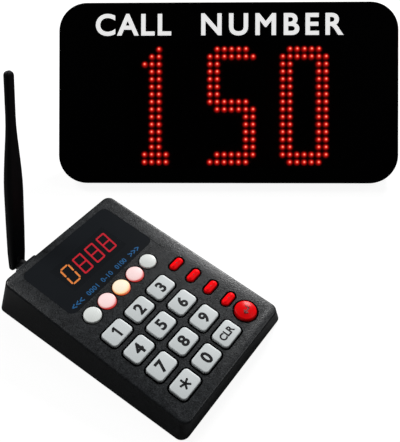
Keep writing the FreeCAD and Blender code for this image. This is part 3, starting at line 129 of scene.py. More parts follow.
def add(tree, kind, links=(), **settings):
    """Adds a node, sets its values and links its inputs in one line."""
    node = tree.nodes.new(kind)
    for key, value in settings.items():
        setattr(node, key, value)
    for socket, source in links:
        if hasattr(source, "is_output"):
            tree.links.new(source, node.inputs[socket])
        else:
            node.inputs[socket].default_value = source
    return node


MOTTLE_MEAN, GLOSS_SWING, PEBBLE_HEIGHT = 1.42, 0.17, 0.0001
grain, grain_in, grain_out = new_group(
    "Pebbled grain",
    [("Color", "c", (0.05, 0.05, 0.05, 1)), ("Contrast", "f", 0.2), ("Scale", "f", 2500.0),
     ("Roughness", "f", 0.5), ("Depth", "f", 0.3)],
    [("Color", "c"), ("Roughness", "f"), ("Normal", "v")])
place = add(grain, "ShaderNodeTexCoord")
pebbles = add(grain, "ShaderNodeTexVoronoi", [("Vector", place.outputs["Object"]),
                                              ("Scale", grain_in.outputs["Scale"])],
              feature="SMOOTH_F1")
clouds = add(grain, "ShaderNodeTexNoise", [("Vector", place.outputs["Object"]),
                                           ("Scale", 260.0), ("Detail", 5.0)])
fine = add(grain, "ShaderNodeTexNoise", [("Vector", place.outputs["Object"]),
                                         ("Scale", 850.0), ("Detail", 3.0)])
mottle = add(grain, "ShaderNodeMath", [(0, pebbles.outputs["Distance"]),
                                       (1, fine.outputs["Fac"])], operation="ADD")
total = add(grain, "ShaderNodeMath", [(0, mottle.outputs[0]), (1, clouds.outputs["Fac"])],
            operation="ADD")
centred = add(grain, "ShaderNodeMath", [(0, total.outputs[0]), (1, MOTTLE_MEAN)],
              operation="SUBTRACT")
swing = add(grain, "ShaderNodeMath", [(0, centred.outputs[0]),
                                      (1, grain_in.outputs["Contrast"])], operation="MULTIPLY")
level = add(grain, "ShaderNodeMath", [(0, swing.outputs[0]), (1, 1.0)], operation="ADD")
tinted = add(grain, "ShaderNodeVectorMath", [(0, grain_in.outputs["Color"]),
                                             (1, level.outputs[0])], operation="MULTIPLY")
shine = add(grain, "ShaderNodeMath", [(0, centred.outputs[0]), (1, GLOSS_SWING)],
            operation="MULTIPLY")
rough = add(grain, "ShaderNodeMath", [(0, grain_in.outputs["Roughness"]),
                                      (1, shine.outputs[0])], operation="ADD", use_clamp=True)
bump = add(grain, "ShaderNodeBump", [("Height", mottle.outputs[0]), ("Distance", PEBBLE_HEIGHT),
                                     ("Strength", grain_in.outputs["Depth"])])
grain.links.new(tinted.outputs[0], grain_out.inputs["Color"])
grain.links.new(rough.outputs[0], grain_out.inputs["Roughness"])
grain.links.new(bump.outputs["Normal"], grain_out.inputs["Normal"])
print("group", grain.name, len(grain.nodes), "nodes")

# %% [markdown]
# The second group is for smooth pieces. Fingers leave smears that change the gloss more than the
# colour, so one distorted noise drives both, and the colour gets only half of its swing.

# %% Node group: handling marks
marks, marks_in, marks_out = new_group(
    "Handling marks",
    [("Color", "c", (0.5, 0.5, 0.5, 1)), ("Roughness", "f", 0.3), ("Amount", "f", 0.3),
     ("Scale", "f", 60.0)],
    [("Color", "c"), ("Roughness", "f")])
place = add(marks, "ShaderNodeTexCoord")
smear = add(marks, "ShaderNodeTexNoise", [("Vector", place.outputs["Object"]),
                                          ("Scale", marks_in.outputs["Scale"]),
                                          ("Detail", 6.0), ("Distortion", 0.8)])
offset = add(marks, "ShaderNodeMath", [(0, smear.outputs["Fac"]), (1, 0.5)],
             operation="SUBTRACT")
amount = add(marks, "ShaderNodeMath", [(0, offset.outputs[0]), (1, marks_in.outputs["Amount"])],
             operation="MULTIPLY")
rough = add(marks, "ShaderNodeMath", [(0, marks_in.outputs["Roughness"]),
                                      (1, amount.outputs[0])], operation="ADD", use_clamp=True)
level = add(marks, "ShaderNodeMath", [(0, amount.outputs[0]), (1, 0.5), (2, 1.0)],
            operation="MULTIPLY_ADD")
tinted = add(marks, "ShaderNodeVectorMath", [(0, marks_in.outputs["Color"]),
                                             (1, level.outputs[0])], operation="MULTIPLY")
marks.links.new(tinted.outputs[0], marks_out.inputs["Color"])
marks.links.new(rough.outputs[0], marks_out.inputs["Roughness"])
print("group", marks.name, len(marks.nodes), "nodes")

# %% [markdown]
# Both dark windows are clear only where their digits stand. Round that zone they are printed black
# on the back, so that neither boards nor keyholes show. The group below turns a place on the sheet,
# in millimetres, into that mask: each sheet carries its own places as an attribute.

# %% Node group: clear zone of a printed window
zone, zone_in, zone_out = new_group(
    "Clear zone",
    [("Place", "v", (0, 0, 0)), ("Middle X", "f", 0.0), ("Middle Y", "f", 0.0),
     ("Half width", "f", 10.0), ("Half depth", "f", 10.0), ("Clear alpha", "f", 0.5)],
    [("Alpha", "f")])
parts = add(zone, "ShaderNodeSeparateXYZ", [("Vector", zone_in.outputs["Place"])])
inside = []
for axis, middle, half in (("X", "Middle X", "Half width"), ("Y", "Middle Y", "Half depth")):
    moved = add(zone, "ShaderNodeMath", [(0, parts.outputs[axis]), (1, zone_in.outputs[middle])],
                operation="SUBTRACT")
    reach = add(zone, "ShaderNodeMath", [(0, moved.outputs[0])], operation="ABSOLUTE")
    inside.append(add(zone, "ShaderNodeMath", [(0, reach.outputs[0]),
                                               (1, zone_in.outputs[half])],
                      operation="LESS_THAN"))
both = add(zone, "ShaderNodeMath", [(0, inside[0].outputs[0]), (1, inside[1].outputs[0])],
           operation="MULTIPLY")
alpha = add(zone, "ShaderNodeMapRange", [("Value", both.outputs[0]), ("To Min", 1.0),
                                         ("To Max", zone_in.outputs["Clear alpha"])])
zone.links.new(alpha.outputs["Result"], zone_out.inputs["Alpha"])
print("group", zone.name, len(zone.nodes), "nodes")

# %% [markdown]
# Two recipes cover most finishes. A moulding takes its colour, gloss and bump from the grain group;
# a smooth moulding or a metal takes them from the handling marks. The shader itself stays in the
# material, where the few dials that never vary over a piece are set once.

# %% Material recipes
DIALS = {"specular": "Specular IOR Level", "metallic": "Metallic", "roughness": "Roughness",
         "emission": "Emission Strength"}
SHEET_SMEARS, LIT_GLOSS, LIT_SMEARS = 40.0, 0.35, 0.05


def new_material(name, dials):
    """A principled material with its dials set; returns it, its tree and its shader."""
    material = bpy.data.materials.new(name)
    material.use_nodes = True
    shader = material.node_tree.nodes["Principled BSDF"]
    for dial, value in dials.items():
        shader.inputs[DIALS[dial]].default_value = value
    return material, material.node_tree, shader


def grained(name, color, roughness, contrast, scale, depth, **dials):
    """A moulding with the pebbled grain."""
    material, tree, shader = new_material(name, dials)
    group = add(tree, "ShaderNodeGroup", node_tree=grain)
    for socket, value in (("Color", (*color, 1)), ("Contrast", contrast), ("Scale", scale),
                          ("Roughness", roughness), ("Depth", depth)):
        group.inputs[socket].default_value = value
    for socket, target in (("Color", "Base Color"), ("Roughness", "Roughness"),
                           ("Normal", "Normal")):
        tree.links.new(group.outputs[socket], shader.inputs[target])
    return material


def smooth(name, color, roughness, amount, scale=60.0, **dials):
    """A smooth moulding, sheet or metal with handling marks."""
    material, tree, shader = new_material(name, dials)
    group = add(tree, "ShaderNodeGroup", node_tree=marks)
    for socket, value in (("Color", (*color, 1)), ("Roughness", roughness), ("Amount", amount),
                          ("Scale", scale)):
        group.inputs[socket].default_value = value
    tree.links.new(group.outputs["Color"], shader.inputs["Base Color"])
    tree.links.new(group.outputs["Roughness"], shader.inputs["Roughness"])
    return material


def smoked(name, color, roughness, amount, middle, half, clear, **dials):
    """A dark sheet that is clear over its digits and printed black round them."""
    material = smooth(name, color, roughness, amount, SHEET_SMEARS, **dials)
    tree = material.node_tree
    spot = add(tree, "ShaderNodeAttribute", attribute_name="sheet_place")
    mask = add(tree, "ShaderNodeGroup", node_tree=zone)
    for socket, value in (("Middle X", middle[0]), ("Middle Y", middle[1]),
                          ("Half width", half[0]), ("Half depth", half[1]),
                          ("Clear alpha", clear)):
        mask.inputs[socket].default_value = value
    tree.links.new(spot.outputs["Vector"], mask.inputs["Place"])
    tree.links.new(mask.outputs["Alpha"], tree.nodes["Principled BSDF"].inputs["Alpha"])
    return material


def glowing(name, strength, base, stops):
    """A lit piece: the colour of its glow runs along the mesh's own attribute called heart."""
    material = smooth(name, base, LIT_GLOSS, LIT_SMEARS)
    tree = material.node_tree
    shader = tree.nodes["Principled BSDF"]
    shader.inputs["Emission Strength"].default_value = strength
    heart = add(tree, "ShaderNodeAttribute", attribute_name="heart")
    ramp = add(tree, "ShaderNodeValToRGB", [("Fac", heart.outputs["Fac"])])
    elements = ramp.color_ramp.elements
    for number, (position, color) in enumerate(stops):
        element = elements[number] if number < 2 else elements.new(position)
        element.position = position
        element.color = (*color, 1)
    tree.links.new(ramp.outputs["Color"], shader.inputs["Emission Color"])
    return material


# %% [markdown]
# Every finish is mixed once, under a short name. The shells are a cool, very dark grey with a
# strong grain, and the antenna is darker and finer. Keys and caps come from polished tools, so they
# are smooth. Ink is matt. A lit piece gets its strength, the colour of its unlit body, and the
# colours of its glow from the rim (0) to the heart (1), with any colours between them last.

# %% Finishes
NEAR_BLACK = (0.0006, 0.0006, 0.0007)
KEYPAD_CLEAR, BOARD_CLEAR = ((0, 129.6), (26.6, 12.4)), ((3.4, 68.0), (94.0, 55.0))
finish = {
    "case": grained("Charcoal moulding", (0.0100, 0.0115, 0.013), roughness=0.34, contrast=1.6,
                    scale=1500.0, depth=0.7, specular=0.30),
    "antenna": grained("Antenna moulding", (0.003, 0.003, 0.0038), roughness=0.46, contrast=0.3,
                       scale=3200.0, depth=0.25, specular=0.17),
    "board_case": grained("Board case moulding", (0.016, 0.017, 0.019), roughness=0.55,
                          contrast=0.4, scale=2000.0, depth=0.4, specular=0.3),
    "key": smooth("Grey key plastic", (0.58, 0.615, 0.62), 0.36, 0.10, 90.0),
    # Painted shadow: a near-black flat ring on the deck round each opening, so that the gap looks
    # deeper.
    "gap_shadow": smooth("Painted shadow round an opening", NEAR_BLACK, 0.8, 0.05, specular=0.0),
    "key_ink": smooth("Key print", (0.004, 0.004, 0.005), 0.5, 0.05, specular=0.15),
    "cap_white": smooth("Milky cap", (0.70, 0.73, 0.71), 0.30, 0.10, 120.0),
    "cap_red": smooth("Red cap", (0.97, 0.003, 0.006), 0.36, 0.12, 120.0, specular=0.04),
    "enter_red": smooth("Polished red cap", (0.72, 0.003, 0.005), 0.24, 0.12, 120.0,
                        specular=0.07),
    "red_ink": smooth("Dark red print", (0.14, 0.0, 0.002), 0.4, 0.05),
    "blue_ink": smooth("Blue print", (0.013, 0.095, 0.24), 0.6, 0.05, specular=0.1),
    # White print with a faint painted glow, which keeps it white where little light falls.
    "white_ink_and_glow": smooth("White print with painted glow", (0.95, 0.95, 0.95), 0.5, 0.03, emission=0.48),
    "keypad_window": smoked("Smoked window", (0.009, 0.0105, 0.0125), 0.30, 0.08, *KEYPAD_CLEAR,
                            clear=0.87, specular=0.05),
    "board_sheet": smoked("Smoked board sheet", NEAR_BLACK, 0.26, 0.06, *BOARD_CLEAR,
                          clear=0.8, specular=0.02),
    "digit_body": smooth("Digit block", (0.006, 0.006, 0.007), 0.6, 0.05),
    "black_steel": smooth("Blackened steel", (0.010, 0.010, 0.011), 0.4, 0.2, 200.0, metallic=1.0),
    "circuit_black": grained("Black lacquered circuit board", (0.003, 0.003, 0.003),
                             roughness=0.6, contrast=0.3, scale=900.0, depth=0.1),
    "circuit": grained("Green lacquered circuit board", (0.012, 0.085, 0.035), roughness=0.38,
                       contrast=0.5, scale=700.0, depth=0.2),
    "component": grained("Moulded component", (0.018, 0.018, 0.019), roughness=0.5,
                         contrast=0.25, scale=3000.0, depth=0.2),
    "steel": smooth("Bright steel", (0.60, 0.61, 0.62), 0.28, 0.2, 200.0, metallic=1.0),
    "can": smooth("Tinned can", (0.66, 0.67, 0.66), 0.34, 0.25, 150.0, metallic=1.0),
    "brass": smooth("Gilt brass", (0.78, 0.58, 0.25), 0.26, 0.2, 200.0, metallic=1.0),
    "rubber": grained("Black rubber", (0.014, 0.014, 0.014), roughness=0.85, contrast=0.3,
                      scale=1500.0, depth=0.5),
    "lamp_dark": smooth("Unlit lamp", (0.004, 0.001, 0.001), 0.5, 0.05, specular=0.1),
    "lamp_lit": glowing("Lit lamp", 31.0, (0.02, 0.002, 0.002),
                        [(0.0, (0.08, 0.001, 0.001)), (1.0, (1.0, 0.50, 0.34)),
                         (0.3, (0.30, 0.003, 0.002)), (0.66, (0.80, 0.035, 0.022))]),
    "lamp_spill": glowing("Light spilt on the board", 24.0, (0.01, 0.002, 0.002),
                          [(0.0, (0.01, 0.0, 0.0)), (1.0, (0.16, 0.001, 0.001))]),
    "digit_amber": glowing("Amber segment", 54.0, (0.3, 0.02, 0.02),
                           [(0.0, (0.75, 0.13, 0.02)), (1.0, (0.80, 0.24, 0.05))]),
    "digit_red": glowing("Red segment", 48.0, (0.3, 0.02, 0.02),
                         [(0.0, (0.50, 0.008, 0.020)), (1.0, (0.62, 0.012, 0.026))]),
    # Lit caps: the lamp's glow through the cap, whose near-white heart also carries a painted
    # highlight.
    "cap_pink": glowing("Pink lit cap", 0.75, (0.42, 0.33, 0.33),
                        [(0.0, (0.60, 0.01, 0.01)), (1.0, (0.76, 0.55, 0.54)),
                         (0.35, (0.74, 0.36, 0.34))]),
    "cap_amber": glowing("Amber lit cap", 0.75, (0.42, 0.38, 0.33),
                         [(0.0, (0.75, 0.14, 0.01)), (1.0, (0.78, 0.70, 0.52)),
                          (0.35, (0.90, 0.52, 0.09))]),
    # Painted red light: a glowing ring in the gap round a lit cap.
    "cap_glow": glowing("Red light in the gap", 0.8, (0.05, 0.005, 0.005),
                        [(0.0, (0.01, 0.0, 0.0)), (1.0, (0.60, 0.02, 0.01))]),
}
print("finishes", len(finish))

# %% [markdown]
# Shared bench tools. A piece is drawn in millimetres with bmesh operators, given its own attribute
# where its colour follows the shape, and then placed in its mesh, so that its object stays at the
# origin as the CAD pieces do. Edges steeper than a set angle stay crisp under smooth shading.

# %% Bench tools: finishing and placing
CRISP, CRISP_DOME = 32, 50
TINY = 1e-6


def settle(name, mesh, material, body, replaces=(), sharp=CRISP):
    """Finishes a placed mesh as a named piece that rides on a body."""
    piece = bpy.data.objects.new(name, mesh)
    bpy.context.scene.collection.objects.link(piece)
    mesh.materials.clear()
    mesh.materials.append(finish[material])
    mesh.shade_smooth()
    mesh.set_sharp_from_angle(angle=radians(sharp))
    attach(piece, body)
    if replaces:
        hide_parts(*replaces)
    return piece


def to_mesh(name, bm, placed, heart=None):
    """Writes a bmesh to a mesh, with its heart attribute, and puts it in place."""
    mesh = bpy.data.meshes.new(name)
    bmesh.ops.recalc_face_normals(bm, faces=bm.faces)
    bm.to_mesh(mesh)
    bm.free()
    if heart:
        values = mesh.attributes.new("heart", "FLOAT", "POINT")
        for number, vertex in enumerate(mesh.vertices):
            values.data[number].value = heart(vertex.co)
    mesh.transform(placed)
    return mesh


def drawn(name, bm, placed, material, body, slot, replaces=(), sharp=CRISP, heart=None):
    """Places and finishes a piece that was drawn as a bmesh."""
    settle(name, to_mesh(name, bm, placed, heart), material, body, replaces, sharp)


def gather(target, source):
    """Adds one bmesh to another."""
    mesh = bpy.data.meshes.new("scrap")
    source.to_mesh(mesh)
    source.free()
    target.from_mesh(mesh)
    bpy.data.meshes.remove(mesh)


print("sharp angles", CRISP, CRISP_DOME)

# %% [markdown]
# Two basic forms are enough for every cap and mark: a block, whose upright edges can be bevelled,
# and a half profile that is spun round the upright axis.

# %% Bench tools: basic forms
TOP_STEPS = 4


def block(width, depth, height):
    """A plain block about the origin."""
    bm = bmesh.new()
    bmesh.ops.create_cube(bm, size=1.0)
    bmesh.ops.scale(bm, vec=(width, depth, height), verts=bm.verts)
    return bm


def bevel(bm, edges, radius, steps):
    """Bevels some edges, round in several steps or flat in one."""
    bmesh.ops.bevel(bm, geom=edges, offset=radius, segments=steps, profile=0.5,
                    affect="EDGES", material=-1)


def uprights(bm):
    """The four upright edges of a block."""
    return [edge for edge in bm.edges if abs(edge.verts[0].co.z - edge.verts[1].co.z) > TINY]


def rounded_block(width, depth, radius, low, high, steps):
    """An upright block with round corners."""
    bm = block(width, depth, high - low)
    bmesh.ops.translate(bm, vec=(0, 0, (high + low) / 2), verts=bm.verts)
    bevel(bm, uprights(bm), radius, steps)
    return bm


def top_face(bm):
    """The highest face, and the largest of those that are level with it."""
    return max(bm.faces, key=lambda face: (face.calc_center_median().z, face.calc_area()))


def soften_top(bm, radius):
    """Rounds the edge where the walls meet the top."""
    bevel(bm, list(top_face(bm).edges), radius, TOP_STEPS)


def surround(bm, width):
    """Keeps only a flat ring of a given width, just inside the outline of the top."""
    ring = bmesh.ops.inset_region(bm, faces=[top_face(bm)], thickness=width,
                                  use_even_offset=True)
    keep = set(ring["faces"])
    bmesh.ops.delete(bm, geom=[item for item in bm.faces if item not in keep], context="FACES")
    return bm


def turned(profile, steps=48):
    """A turned form: a half profile of radius and height, spun round the upright axis."""
    bm = bmesh.new()
    points = [bm.verts.new((radius, 0, height)) for radius, height in profile]
    edges = [bm.edges.new(pair) for pair in zip(points, points[1:])]
    bmesh.ops.spin(bm, geom=points + edges, cent=(0, 0, 0), axis=(0, 0, 1), angle=2 * pi,
                   steps=steps, use_merge=True)
    bmesh.ops.remove_doubles(bm, verts=bm.verts, dist=1e-5)
    return bm


print("top edges in", TOP_STEPS, "steps")

# %% [markdown]
# The two cases, the leg, the antenna and its knuckle are single mouldings whose shape is already
# right, so they only need their finish and smooth shading. CAD meshes come as loose triangles. They
# are merged first, so that light runs over their curves without facets. The two windows also learn
# where on the sheet each of their points is, for the mask of the clear zone.

# %% Mouldings
MERGE_WITHIN, FLAT_WITHIN = 2e-6, 0.2


def dressed(node, material):
    """A smooth-shaded double of a curved CAD node."""
    source = frame["nodes"][node]
    bm = bmesh.new()
    bm.from_mesh(source.data)
    bmesh.ops.remove_doubles(bm, verts=bm.verts, dist=MERGE_WITHIN)
    bmesh.ops.dissolve_limit(bm, angle_limit=radians(FLAT_WITHIN), verts=bm.verts,
                             edges=bm.edges)
    mesh = bpy.data.meshes.new(node + "_dressed")
    bm.to_mesh(mesh)
    bm.free()
    return settle(node + "_dressed", mesh, material, source["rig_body"], (node,))


for node, material in (("keypad_top_case", "case"), ("keypad_bottom_case", "case"),
                       ("antenna_whip", "antenna"), ("antenna_knuckle", "antenna"),
                       ("display_case", "board_case"), ("stand_leg", "board_case")):
    dressed(node, material)
for node, material, plane in (("keypad_window", "keypad_window", DECK),
                              ("display_window", "board_sheet", BOARD)):
    pane = dressed(node, material)
    flat = plane.inverted()
    places = pane.data.attributes.new("sheet_place", "FLOAT_VECTOR", "POINT")
    for number, vertex in enumerate(pane.data.vertices):
        places.data[number].vector = (flat @ vertex.co) / MM
print("mouldings dressed")

# %% [markdown]
# Screws, pins, circuit boards, inlets and feet are right as they come too. Few of them show, and
# none needs smooth curves, so each only gets a new material in its own slot.

# %% Hardware and electronics
HARDWARE = {
    "board_screws": "steel", "case_screws": "steel", "dot_board_screws": "black_steel",
    "control_board_screws": "steel", "jack_nut": "steel", "antenna_hinge_pin": "steel",
    "stand_hinge_pin": "steel", "antenna_jack": "brass", "main_board": "circuit",
    "control_board": "circuit", "dot_board": "circuit_black", "radio_module": "can",
    "receiver_module": "can", "button_switches": "component", "beeper": "component",
    "keypad_power_jack": "component", "display_power_jack": "component",
    "button_lamps": "cap_white", "keypad_feet": "rubber", "display_feet": "rubber",
    "stand_tip": "rubber",
}
for node, material in HARDWARE.items():
    mesh = frame["nodes"][node].data
    mesh.materials.clear()
    mesh.materials.append(finish[material])
print("hardware finished", len(HARDWARE))

# %% [markdown]
# The keys are hard grey caps with a flat top and a soft edge all round. Each is a block with
# bevelled uprights, and its top edge gets a small bevel of its own that catches the light. A flange
# below the deck holds it in. A thin black ring of painted shadow lies on the deck round every
# opening, here and under the other caps, and makes the running gap look deeper.

# %% Twelve keys
KEY_ROWS = (("key_star", "key_0", "key_clear"), ("key_7", "key_8", "key_9"),
            ("key_4", "key_5", "key_6"), ("key_1", "key_2", "key_3"))
KEY_ACROSS, KEY_ALONG, KEY_LEFT, KEY_FRONT = 22.8, 18.85, -32.58, 17.47
KEY_CAP, KEY_FLANGE, KEY_OPENING = (18.4, 13.4, 2.8), (20.8, 15.8, 4.0), (21.3, 16.3, 4.2)
KEY_TOP, KEY_SOFTNESS, KEY_SHADOW_WIDTH = 1.5, 0.8, 1.0
FLANGE_LOW, FLANGE_TOP, SHADOW_RING_HEIGHT = -3.9, -2.9, 0.02


def key_place(row, column):
    """Middle of a key on the deck, in millimetres."""
    return KEY_LEFT + column * KEY_ACROSS, KEY_FRONT + row * KEY_ALONG


def painted_gap_shadow(name, line, placed):
    """A thin ring of painted shadow round the opening of one cap."""
    drawn(name + "_painted_shadow", line, placed, "gap_shadow", "base", "case_black")


for row, names in enumerate(KEY_ROWS):
    for column, name in enumerate(names):
        placed = at(DECK, *key_place(row, column))
        cap = rounded_block(*KEY_CAP, FLANGE_TOP, KEY_TOP, 8)
        soften_top(cap, KEY_SOFTNESS)
        gather(cap, rounded_block(*KEY_FLANGE, FLANGE_LOW, FLANGE_TOP, 4))
        drawn(name + "_cap", cap, placed, "key", name + "_body", "key_grey", (name,))
        # A ring of painted shadow on the deck round the key's opening.
        line = surround(rounded_block(*KEY_OPENING, -1.0, SHADOW_RING_HEIGHT, 8), KEY_SHADOW_WIDTH)
        painted_gap_shadow(name, line, placed)
print("keys", sum(len(names) for names in KEY_ROWS))

# %% [markdown]
# Marks are printed. A text object is turned into a mesh at once, scaled to the width and height
# measured on the photo, and laid a hair above the surface. Only plain numbers and generic marks
# are used. A bevel thickens the strokes evenly, which an offset of the curve wouldn't.

# %% Lettering
def lettering(words, weight, spacing):
    """Words as a mesh of the font's own size."""
    curve = bpy.data.curves.new("lettering", "FONT")
    curve.body = words
    curve.bevel_depth = weight
    curve.bevel_resolution = 0
    curve.resolution_u = 6
    curve.space_character = spacing
    text = bpy.data.objects.new("lettering", curve)
    bpy.context.scene.collection.objects.link(text)
    bpy.context.view_layer.update()
    mesh = bpy.data.meshes.new_from_object(text)
    bpy.data.objects.remove(text)
    bpy.data.curves.remove(curve)
    return mesh


def extent(mesh):
    """The low and high corner of a mesh."""
    axes = [[vertex.co[axis] for vertex in mesh.vertices] for axis in range(3)]
    return Vector([min(axis) for axis in axes]), Vector([max(axis) for axis in axes])


def spacing_for(words, weight, ratio):
    """Letter spacing at which the words come to a wanted width over height."""
    tight, loose = 1.0, 1.5
    measured = []
    for spacing in (tight, loose):
        mesh = lettering(words, weight, spacing)
        low, high = extent(mesh)
        bpy.data.meshes.remove(mesh)
        measured.append((high.x - low.x) / (high.y - low.y))
    share = (ratio - measured[0]) / (measured[1] - measured[0])
    return tight + (loose - tight) * share


def printed(name, words, height, placed, material, body, slot, weight, thickness, width=None):
    """Flat lettering of a given height, spaced out or condensed to its width and centred."""
    spacing = max(1.0, spacing_for(words, weight, width / height)) if width else 1.0
    mesh = lettering(words, weight, spacing)
    low, high = extent(mesh)
    scale = height / (high.y - low.y)
    across = width / (high.x - low.x) if width else scale
    mesh.transform(Matrix.Diagonal((across, scale, thickness / max(high.z - low.z, TINY), 1))
                   @ Matrix.Translation(-(low + high) / 2))
    mesh.transform(placed)
    settle(name, mesh, material, body)


def bar(width, height, x, y, thickness, pointed=0.0, turn=0.0):
    """A flat bar, turned about its middle; a cut on the corners gives it mitred ends."""
    bm = block(width, height, thickness)
    if pointed:
        bevel(bm, uprights(bm), pointed, 1)
    bmesh.ops.rotate(bm, cent=(0, 0, 0), matrix=Matrix.Rotation(radians(turn), 3, "Z"),
                     verts=bm.verts)
    bmesh.ops.translate(bm, vec=(x, y, thickness / 2), verts=bm.verts)
    return bm


print("lettering ready")

# %% [markdown]
# Ten keys carry lettering. The star and the one are drawn from bars, because the font's own forms
# differ most from the usual ones on keypads: a star of five plain arms, and a one with no foot.

# %% Key marks
INK, KEY_STROKE, STAR_ARM = 0.06, 1.45, 3.9
NUMBER_HEIGHT, CLEAR_HEIGHT, CLEAR_WIDTH = 8.9, 5.6, 12.6
LETTER_WEIGHT, LETTER_THICK = 0.04, 0.05


def star():
    """Five arms round a middle, each with its corners cut."""
    mark = bmesh.new()
    for arm in range(5):
        turn = 90 + 72 * arm
        way = radians(turn)
        gather(mark, bar(STAR_ARM, KEY_STROKE, STAR_ARM / 2 * cos(way),
                         STAR_ARM / 2 * sin(way), INK, 0.3, turn))
    return mark


def figure_one():
    """An upright with a slanting flag."""
    mark = bar(1.6, 8.8, 0.6, 0.0, INK)
    gather(mark, bar(3.0, KEY_STROKE, -0.6, 2.95, INK, turn=38))
    return mark


DRAWN_MARKS = {"key_star": star, "key_1": figure_one}
for row, names in enumerate(KEY_ROWS):
    for column, name in enumerate(names):
        placed = at(DECK, *key_place(row, column), KEY_TOP)
        rider = ("key_ink", name + "_body", "key_grey")
        if name in DRAWN_MARKS:
            drawn(name + "_mark", DRAWN_MARKS[name](), placed, *rider)
        elif name == "key_clear":
            printed(name + "_mark", "CLR", CLEAR_HEIGHT, placed, *rider, LETTER_WEIGHT,
                    LETTER_THICK, CLEAR_WIDTH)
        else:
            printed(name + "_mark", name[-1], NUMBER_HEIGHT, placed, *rider, LETTER_WEIGHT,
                    LETTER_THICK)
print("key marks", sum(len(names) for names in KEY_ROWS))

# %% [markdown]
# The five round caps are milky mouldings over small lamps. The middle three are lit: their tops are
# almost white and their rims redden, because light leaves through the edge of the cap. The heart
# attribute carries that, with a painted highlight added: one at a middle set off towards the rear,
# nought at the rim. A glowing ring paints red light into the gap round a lit cap, on its front
# side.

# %% Round function caps
ROUND_LEFT, ROUND_ACROSS, ROUND_LINE, ROUND_RADIUS = -32.92, 14.35, 95.46, 6.2
ROUND_FLANGE, ROUND_SHADOW_RING = 7.02, (6.72, 7.15)
ROUND_FINISH = ("cap_white", "cap_pink", "cap_amber", "cap_pink", "cap_white")
GLOW_PROFILE = ((6.3, -1.6), (6.65, -1.6), (6.65, -0.15), (6.3, -0.15), (6.3, -1.6))
# The bright heart of a lit cap sits off its middle, towards the rear, where a painted highlight
# joins the lamp's glow.
GLOW_AND_HIGHLIGHT_MIDDLE, HEART_REACH, GLOW_REACH = Vector((-0.3, 0.9)), ROUND_RADIUS + 0.3, 6.5
WALL_DEPTH = 4.0


def flange_profile(flange, radius, inner=0.0):
    """Half profile of the flange that holds a cap in, up to the foot of its wall."""
    return [(inner, FLANGE_LOW), (flange, FLANGE_LOW), (flange, FLANGE_TOP),
            (radius, FLANGE_TOP)]


def dome_profile(radius, shoulder, top, edge, steps=6):
    """Half profile of a low cap: wall, rounded edge, then a gentle dome to the middle."""
    points = [(radius, shoulder - WALL_DEPTH)]
    for step in range(steps + 1):
        angle = pi / 2 * step / steps
        points.append((radius - edge + edge * cos(angle), shoulder - edge + edge * sin(angle)))
    inner = radius - edge
    for step in range(1, steps + 1):
        share = step / steps
        points.append((inner * (1 - share), shoulder + (top - shoulder) * (1 - (1 - share) ** 2)))
    return points


def turned_shadow_ring(inner, outer, steps=48):
    """The painted shadow round a turned cap's opening, as a flat ring."""
    return turned([(inner, SHADOW_RING_HEIGHT), (outer, SHADOW_RING_HEIGHT)], steps)


def lit_cap_glow_and_highlight(co):
    """How near the bright part of the lit cap's top a point is: the lamp's glow with a painted
    highlight towards the rear; the front rim stays red.
    """
    reach = (co.xy - GLOW_AND_HIGHLIGHT_MIDDLE).length / HEART_REACH
    return max(0.0, 1.0 - reach ** 6) if co.z > 0.5 else 0.0


def glow_heart(co):
    """The painted red glow in the gap lies only on the front half of a lit cap, strongest at the
    front.
    """
    return max(0.0, -co.y / GLOW_REACH) ** 1.5 if co.z > -1.0 else 0.0


for number, material in enumerate(ROUND_FINISH):
    name = "function_button_%d" % (number + 1)
    slot = "cap_white" if material == "cap_white" else "cap_lit"
    placed = at(DECK, ROUND_LEFT + number * ROUND_ACROSS, ROUND_LINE)
    cap = turned(flange_profile(ROUND_FLANGE, ROUND_RADIUS)
                 + dome_profile(ROUND_RADIUS, shoulder=1.0, top=1.4, edge=0.9))
    drawn(name + "_cap", cap, placed, material, name + "_body", slot, (name,), heart=lit_cap_glow_and_highlight)
    # Painted shadow round the cap's opening.
    painted_gap_shadow(name, turned_shadow_ring(*ROUND_SHADOW_RING), placed)
    # A lit cap also gets a glowing ring in its gap: painted red light on its front side.
    if slot == "cap_lit":
        drawn(name + "_glow", turned(GLOW_PROFILE), placed, "cap_glow", "base", "cap_lit",
              heart=glow_heart)
print("round caps", len(ROUND_FINISH))

# %% [markdown]
# The four obround caps and the enter cap are red, and the enter cap has the higher polish. An
# obround cap is a turned dome pulled apart down its middle. Its number of sides leaves no point on
# the cut, and it stops just short of the middle, so that every point belongs to one half. The enter
# cap is turned, like a mushroom head.

# %% Red caps
OVAL_SIDE, OVAL_REAR, OVAL_PITCH = 36.25, 78.37, 15.38
OVAL_LENGTH, OVAL_WIDTH, OVAL_TOP, OVAL_CORE, OVAL_SIDES = 12.2, 5.8, 1.6, 0.05, 46
OVAL_FLANGE, OVAL_SHADOW_RING = 4.1, (3.42, 4.2)
OVAL_REACH, OVAL_RADIUS = (OVAL_LENGTH - OVAL_WIDTH) / 2, OVAL_WIDTH / 2
ENTER_SIDE, ENTER_LINE, ENTER_RADIUS, ENTER_FLANGE = 36.0, 17.41, 7.9, 9.1
ENTER_SHADOW_RING = (8.42, 9.2)
DOT_SIZE, DOT_HEIGHT = (0.9, 0.7), 1.57


def pulled_apart(bm, reach):
    """Moves the two halves of a turned form apart along X; its side faces stretch to fill."""
    for vertex in bm.verts:
        if abs(vertex.co.x) > 1e-4:
            vertex.co.x += reach if vertex.co.x > 0 else -reach
    return bm


